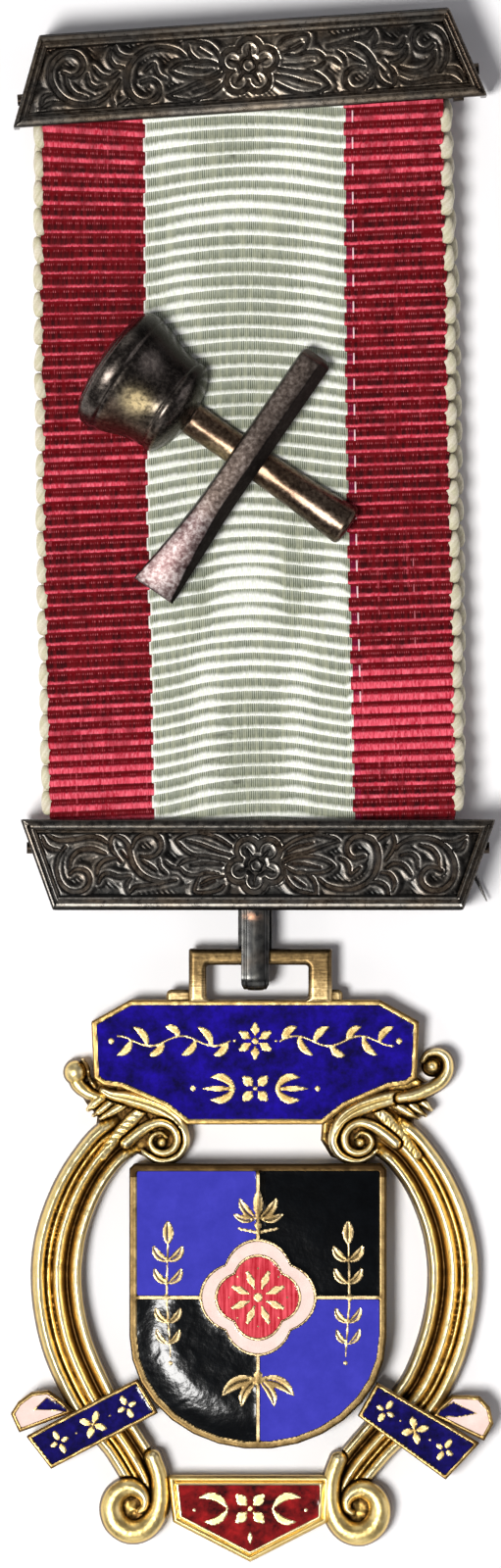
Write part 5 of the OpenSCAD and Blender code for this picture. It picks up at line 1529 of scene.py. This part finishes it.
def emblem_metal():
    m = Mat("emblem_silver", Metallic=0.95, Roughness=0.3)
    n1 = m.noise(0.45, 4, 0.6)
    n2 = m.noise(3.2, 4, 0.6)
    n3 = m.noise(18.0, 3, 0.6)
    warm = m.attr("warm")
    v = m.math("ADD", m.math("MULTIPLY", n2, 0.62), m.math("MULTIPLY", n1, 0.28))
    v = m.math("ADD", v, m.math("MULTIPLY", n3, 0.10))
    dark = m.ramp(v, [(0.34, (0.026, 0.021, 0.019)), (0.50, (0.070, 0.058, 0.050)), (0.66, (0.17, 0.145, 0.125))])
    brown = m.ramp(v, [(0.34, (0.055, 0.032, 0.020)), (0.50, (0.130, 0.083, 0.054)), (0.66, (0.30, 0.212, 0.142))])
    mauve = m.ramp(v, [(0.34, (0.065, 0.045, 0.036)), (0.50, (0.185, 0.140, 0.118)), (0.66, (0.42, 0.35, 0.31))])
    col = m.mix(m.range(warm, 0.25, 0.75), dark, brown)
    col = m.mix(m.range(warm, 1.25, 1.75), col, mauve)
    blade = m.ramp(v, [(0.40, (0.040, 0.021, 0.021)), (0.50, (0.105, 0.074, 0.072)), (0.60, (0.22, 0.19, 0.185))])
    col = m.mix(m.range(warm, 2.2, 2.9), col, blade)
    # golden patches on the mallet, partly tarnish and partly painted highlight
    gold = m.math("MULTIPLY", m.attr("tarnish_and_highlight"), m.range(n2, 0.34, 0.62, 0.25, 0.85), clamp=True)
    col = m.mix(gold, col, (0.88, 0.70, 0.38))
    # painted shade: the mallet head's upper-right flank and the chisel's side walls and head end darkened
    col = m.mix(m.attr("painted_shade"), col, (0.014, 0.012, 0.011))
    m.set("Base Color", col)
    m.set("Roughness", m.math("ADD", m.range(n2, 0.25, 0.8, 0.20, 0.36), m.math("MULTIPLY_ADD", m.range(warm, 0.2, 1.75), 0.10, m.math("MULTIPLY", m.attr("tarnish_and_highlight"), 0.12))))
    sc = m.noise(1.0, 3, 0.6, m.stretch(24.0, 2.2, 3.0, -34.7))
    m.set("Normal", m.bump(sc, 0.16, 0.010, m.bump(n3, 0.30, 0.004)))
    return m.m


M_EMBLEM = emblem_metal()


def mallet():
    rows = through(MALLET, 3)
    rows[:, 1] = np.maximum(rows[:, 1], 0)
    s, r = rows[1:-1, 0], rows[1:-1, 1]
    n = 56
    a = np.linspace(0, np.pi, n + 1)
    lat, hgt = r[:, None] * np.cos(a)[None, :], r[:, None] * np.sin(a)[None, :]
    # the head was struck a little aslant, and is not perfectly round
    ss = s[:, None] - 0.11 * hgt * smooth((9.0 - s[:, None]) / 2.0)
    dent = 0.05 * (value_noise(a[None, :] * 2.2 + 0 * lat, s[:, None] * 0.7 + 0 * lat, 111) - 0.5) * smooth((s[:, None] - 2.6) / 1.0) * np.sin(a)[None, :]
    hgt = hgt * (1 + dent)
    d = math.radians(MAL_DIR)
    ax, ay = (math.cos(d), math.sin(d)), (-math.sin(d), math.cos(d))

    def world(ss, lat, hgt):
        return np.stack([MAL_AT[0] + ax[0] * ss + ay[0] * lat, MAL_AT[1] + ax[1] * ss + ay[1] * lat, EMB_Z + hgt], -1)

    grid = world(ss, lat, hgt).reshape(-1, 3)
    ends = world(np.array([rows[0, 0], rows[-1, 0]]), np.zeros(2), np.zeros(2))
    k, w = len(s), n + 1
    q = grid_faces(k, w, flip=True)
    faces = [q.ravel()]
    tot = [np.full(len(q), 4)]
    i = np.arange(k - 1)
    back = np.stack([i * w, i * w + n, (i + 1) * w + n, (i + 1) * w], 1)[:, ::-1]
    faces.append(back.ravel()); tot.append(np.full(len(back), 4))
    e0, e1 = k * w, k * w + 1
    j = np.arange(n)
    c0 = np.stack([np.full(n, e0), j, j + 1], 1)[:, ::-1]
    c1 = np.stack([np.full(n, e1), (k - 1) * w + j + 1, (k - 1) * w + j], 1)[:, ::-1]
    faces += [c0.ravel(), c1.ravel(), np.array([e0, n, 0])[::-1], np.array([e1, (k - 1) * w, (k - 1) * w + n])[::-1]]
    tot += [np.full(n, 3), np.full(n, 3), np.array([3]), np.array([3])]
    sx = np.repeat(s[:, None], w, 1)
    # warm: the handle is bronze, darker towards its end; the head's lower-left flank is made browner and lighter as
    # painted light
    warm = smooth((sx - 8.2) / 0.4) * (1 - 0.45 * smooth((sx - 14) / 6)) + 0.55 * smooth((-lat - 0.8) / 2.5) * (sx < 7.3) * smooth((sx - 2.4) / 0.5)
    # golden patches on the head's lower-left flank and along the handle's lower-left side, partly tarnish and partly
    # painted highlight
    tarn = 1.7 * np.exp(-((sx - 4.6) / 0.95) ** 2 - ((lat + 1.35) / 0.85) ** 2) + 0.8 * np.exp(-((sx - 11.6) / 1.2) ** 2 - ((lat + 0.85) / 0.35) ** 2)
    # painted shade on the head's upper-right flank
    flank = 0.9 * smooth((lat / r[:, None] - 0.30) / 0.45) * smooth((8.3 - sx) / 0.8) * smooth((sx - 0.5) / 1.2)
    attrs = {"warm": np.append(warm.ravel(), [0, 0.5]), "tarnish_and_highlight": np.append(tarn.ravel(), [0, 0]), "painted_shade": np.append(flank.ravel(), [0, 0])}
    return make_mesh("mallet", np.concatenate([grid, ends]), np.concatenate(faces), np.concatenate(tot), attrs, 40, [M_EMBLEM])


CH_AT, CH_DIR, CH_Z0 = (4.90, 33.53), 235.4, EMB_Z + 0.75
# down the chisel: half width, height of the upper face
CHISEL = [(0.0, 0.80, 0.70), (0.18, 0.98, 1.00), (0.42, 1.05, 1.40), (0.60, 1.05, 1.62), (0.80, 1.05, 1.69), (3.0, 1.05, 1.70), (8.0, 1.05, 1.70), (12.0, 1.05, 1.70), (14.0, 1.07, 1.67), (15.5, 1.13, 1.57), (17.5, 1.27, 1.36),
          (19.0, 1.40, 1.13), (20.3, 1.53, 0.87), (21.4, 1.66, 0.58), (22.1, 1.73, 0.36), (22.3, 1.76, 0.27)]


def chisel():
    rows = through(CHISEL, 5)
    d = math.radians(CH_DIR)
    ax, ay = (math.cos(d), math.sin(d)), (-math.sin(d), math.cos(d))
    ring = []
    for u, hw, h in rows:
        # left of the run is the viewer's right
        r, l = min(0.78, 0.78 * h / 1.7 + 0.02), min(0.17, 0.17 * h / 1.7 + 0.02)
        edge = 0.035 * math.sin(u * 3.1) * 0.5
        b = min(0.10, 0.3 * h)
        o = hw + 0.46 * min(1.0, h / 1.5)
        pts = [(-hw, 0), (-hw, h * 0.45), (-hw + l * 0.75, h - b), (-hw + l, h - b * 0.35), (-hw + l + 0.10, h), ((o - r + l - hw) / 2, h + 0.012), (o - r - 0.10, h), (o - r + edge, h - b * 0.35), (o - r + 0.06 + edge, h - b), (o, h * 0.45), (o, 0)]
        ring.append([(CH_AT[0] + ax[0] * u + ay[0] * v, CH_AT[1] + ax[1] * u + ay[1] * v, CH_Z0 + z) for v, z in pts])
    g = np.array(ring)
    k, w = g.shape[:2]
    q = grid_faces(k, w, close_v=True)
    ends = [np.arange(w), ((k - 1) * w + np.arange(w))[::-1]]
    ux = np.repeat(rows[:, :1], w, 1)
    # painted shade on the side walls and on the head end; the part nearer the head is darker as well
    painted_shade = np.array([1, 1, 1, 0.7, 0, 0, 0, 1, 1, 1, 1])[None, :] * 0.92 + 0 * ux
    painted_shade = np.maximum(painted_shade, 0.75 * smooth((0.62 - ux) / 0.25))
    painted_shade = np.maximum(painted_shade, 0.58 * (1 - smooth((ux - 7.0) / 4.5)))
    attrs = {"warm": 2.0 + smooth((ux.ravel() - 12.0) / 5.0), "tarnish_and_highlight": 0.0 * ux.ravel(), "painted_shade": painted_shade.ravel()}
    return make_mesh("chisel", g.reshape(-1, 3), np.concatenate([q.ravel()] + ends), np.concatenate([np.full(len(q), 4), [w, w]]), attrs, 28, [M_EMBLEM])


for ob in (mallet(), chisel()):
    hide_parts("mallet_and_chisel")
    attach(ob, "root")

# =====================================================================
# Strap: a band folded round the bail, with a raised panel on its face
# =====================================================================
STRAP_X, STRAP_TOP, STRAP_BOTTOM, STRAP_Z, STRAP_OUT, STRAP_T = 0.19, -7.2, -15.93, 1.9, 1.15, 0.4


def gunmetal():
    m = Mat("gunmetal", Metallic=1.0, Roughness=0.3)
    n1, n2, n3 = m.noise(0.7, 2, 0.5), m.noise(1.6, 3, 0.5), m.noise(24.0, 3, 0.6)
    st = m.noise(1.0, 2, 0.5, m.stretch(2.6, 0.22, 1.0))
    v = m.math("ADD", m.math("MULTIPLY", n2, 0.42), m.math("MULTIPLY_ADD", st, 0.52, m.math("MULTIPLY", n3, 0.06)))
    cold = m.ramp(v, [(0.36, (0.040, 0.040, 0.040)), (0.50, (0.064, 0.064, 0.062)), (0.64, (0.11, 0.108, 0.10))])
    warm = m.ramp(v, [(0.36, (0.048, 0.043, 0.038)), (0.50, (0.076, 0.068, 0.060)), (0.64, (0.13, 0.115, 0.10))])
    col = m.mix(m.range(n1, 0.50, 0.70), cold, warm)
    m.set("Base Color", m.mix(m.math("MULTIPLY", m.attr("warm"), m.range(n2, 0.36, 0.56), clamp=True), col, (0.78, 0.42, 0.26)))
    m.set("Roughness", m.range(n2, 0.25, 0.8, 0.24, 0.34))
    sc = m.noise(1.0, 3, 0.6, m.stretch(14.0, 1.2, 3.0))
    m.set("Normal", m.bump(sc, 0.2, 0.008, m.bump(n3, 0.25, 0.002)))
    return m.m


M_GUN = gunmetal()


def strap():
    r = STRAP_OUT - STRAP_T
    path = []
    # inner line of the loop: front leaf down, round the foot, back leaf up, round the head
    for y in np.linspace(STRAP_TOP - STRAP_OUT, STRAP_BOTTOM + STRAP_OUT, 40)[:-1]:
        path.append((y, STRAP_Z + r, 0.0, 1.0))
    for a in np.linspace(90, -90, 19)[:-1]:
        c, s = math.cos(math.radians(a)), math.sin(math.radians(a))
        path.append((STRAP_BOTTOM + STRAP_OUT - r * c, STRAP_Z + r * s, -c, s))
    for y in np.linspace(STRAP_BOTTOM + STRAP_OUT, STRAP_TOP - STRAP_OUT, 40)[:-1]:
        path.append((y, STRAP_Z - r, 0.0, -1.0))
    for a in np.linspace(-90, 90, 19)[:-1]:
        c, s = math.cos(math.radians(a)), math.sin(math.radians(a))
        path.append((STRAP_TOP - STRAP_OUT + r * c, STRAP_Z + r * s, c, s))
    # across: place and height above the inner face
    sect = [(-1.08, 0.05), (-1.08, 0.22), (-1.04, 0.29), (-0.95, 0.315), (-0.80, 0.305), (-0.72, 0.31), (-0.68, 0.34), (-0.64, 0.362), (-0.57, 0.374), (-0.28, 0.392), (0.06, 0.400), (0.38, 0.391), (0.68, 0.372), (0.76, 0.360), (0.80, 0.34), (0.84, 0.31), (0.90, 0.305), (1.0, 0.31), (1.05, 0.28),
            (1.08, 0.22), (1.08, 0.05), (1.04, 0.0), (0.0, 0.0), (-1.04, 0.0)]
    g = []
    for y, z, ny, nz in path:
        back = nz < -0.5 and -13.0 < y < -8.4
        # the foot's corners are rounded off, seen from above
        foot = np.clip((STRAP_BOTTOM + 0.55 - (y + ny * STRAP_T)) / 0.55, 0, 1)
        ring = []
        for x, o in sect:
            k = 1.0
            if back:
                k = 1.22
            xx = x * k * (1 - 0.16 * foot ** 2)
            ring.append((STRAP_X + xx, y + ny * o, z + nz * o))
        g.append(ring)
    g = np.array(g)
    k, w = g.shape[:2]
    q = grid_faces(k, w, close_u=True, close_v=True)
    v = g.reshape(-1, 3)
    copper = np.exp(-((v[:, 0] + 0.05) / 0.5) ** 2 - ((v[:, 1] + 10.15) / 0.24) ** 2) * (v[:, 2] > STRAP_Z + 0.6)
    return make_mesh("suspension_strap", v, q.ravel(), np.full(len(q), 4), {"warm": copper}, 35, [M_GUN])


ob = strap()
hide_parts("suspension_loop")
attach(ob, "root")


def steel():
    m = Mat("pin_steel", Metallic=1.0, Roughness=0.3)
    n1, n2 = m.noise(1.2, 4, 0.6), m.noise(10.0, 4, 0.65)
    v = m.math("ADD", m.math("MULTIPLY", n1, 0.5), m.math("MULTIPLY", n2, 0.5))
    m.set("Base Color", m.ramp(v, [(0.32, (0.03, 0.027, 0.025)), (0.50, (0.11, 0.105, 0.10)), (0.68, (0.30, 0.29, 0.28))]))
    m.set("Roughness", m.range(n2, 0.3, 0.75, 0.20, 0.42))
    m.set("Normal", m.bump(m.noise(1.0, 2, 0.6, m.stretch(2.0, 30.0, 30.0)), 0.2, 0.02))
    return m.m


M_STEEL = steel()
for n in ("brooch_pin", "ribbon_pin", "emblem_post"):
    o = frame["nodes"][n]
    for i in range(len(o.material_slots)):
        o.material_slots[i].material = M_STEEL
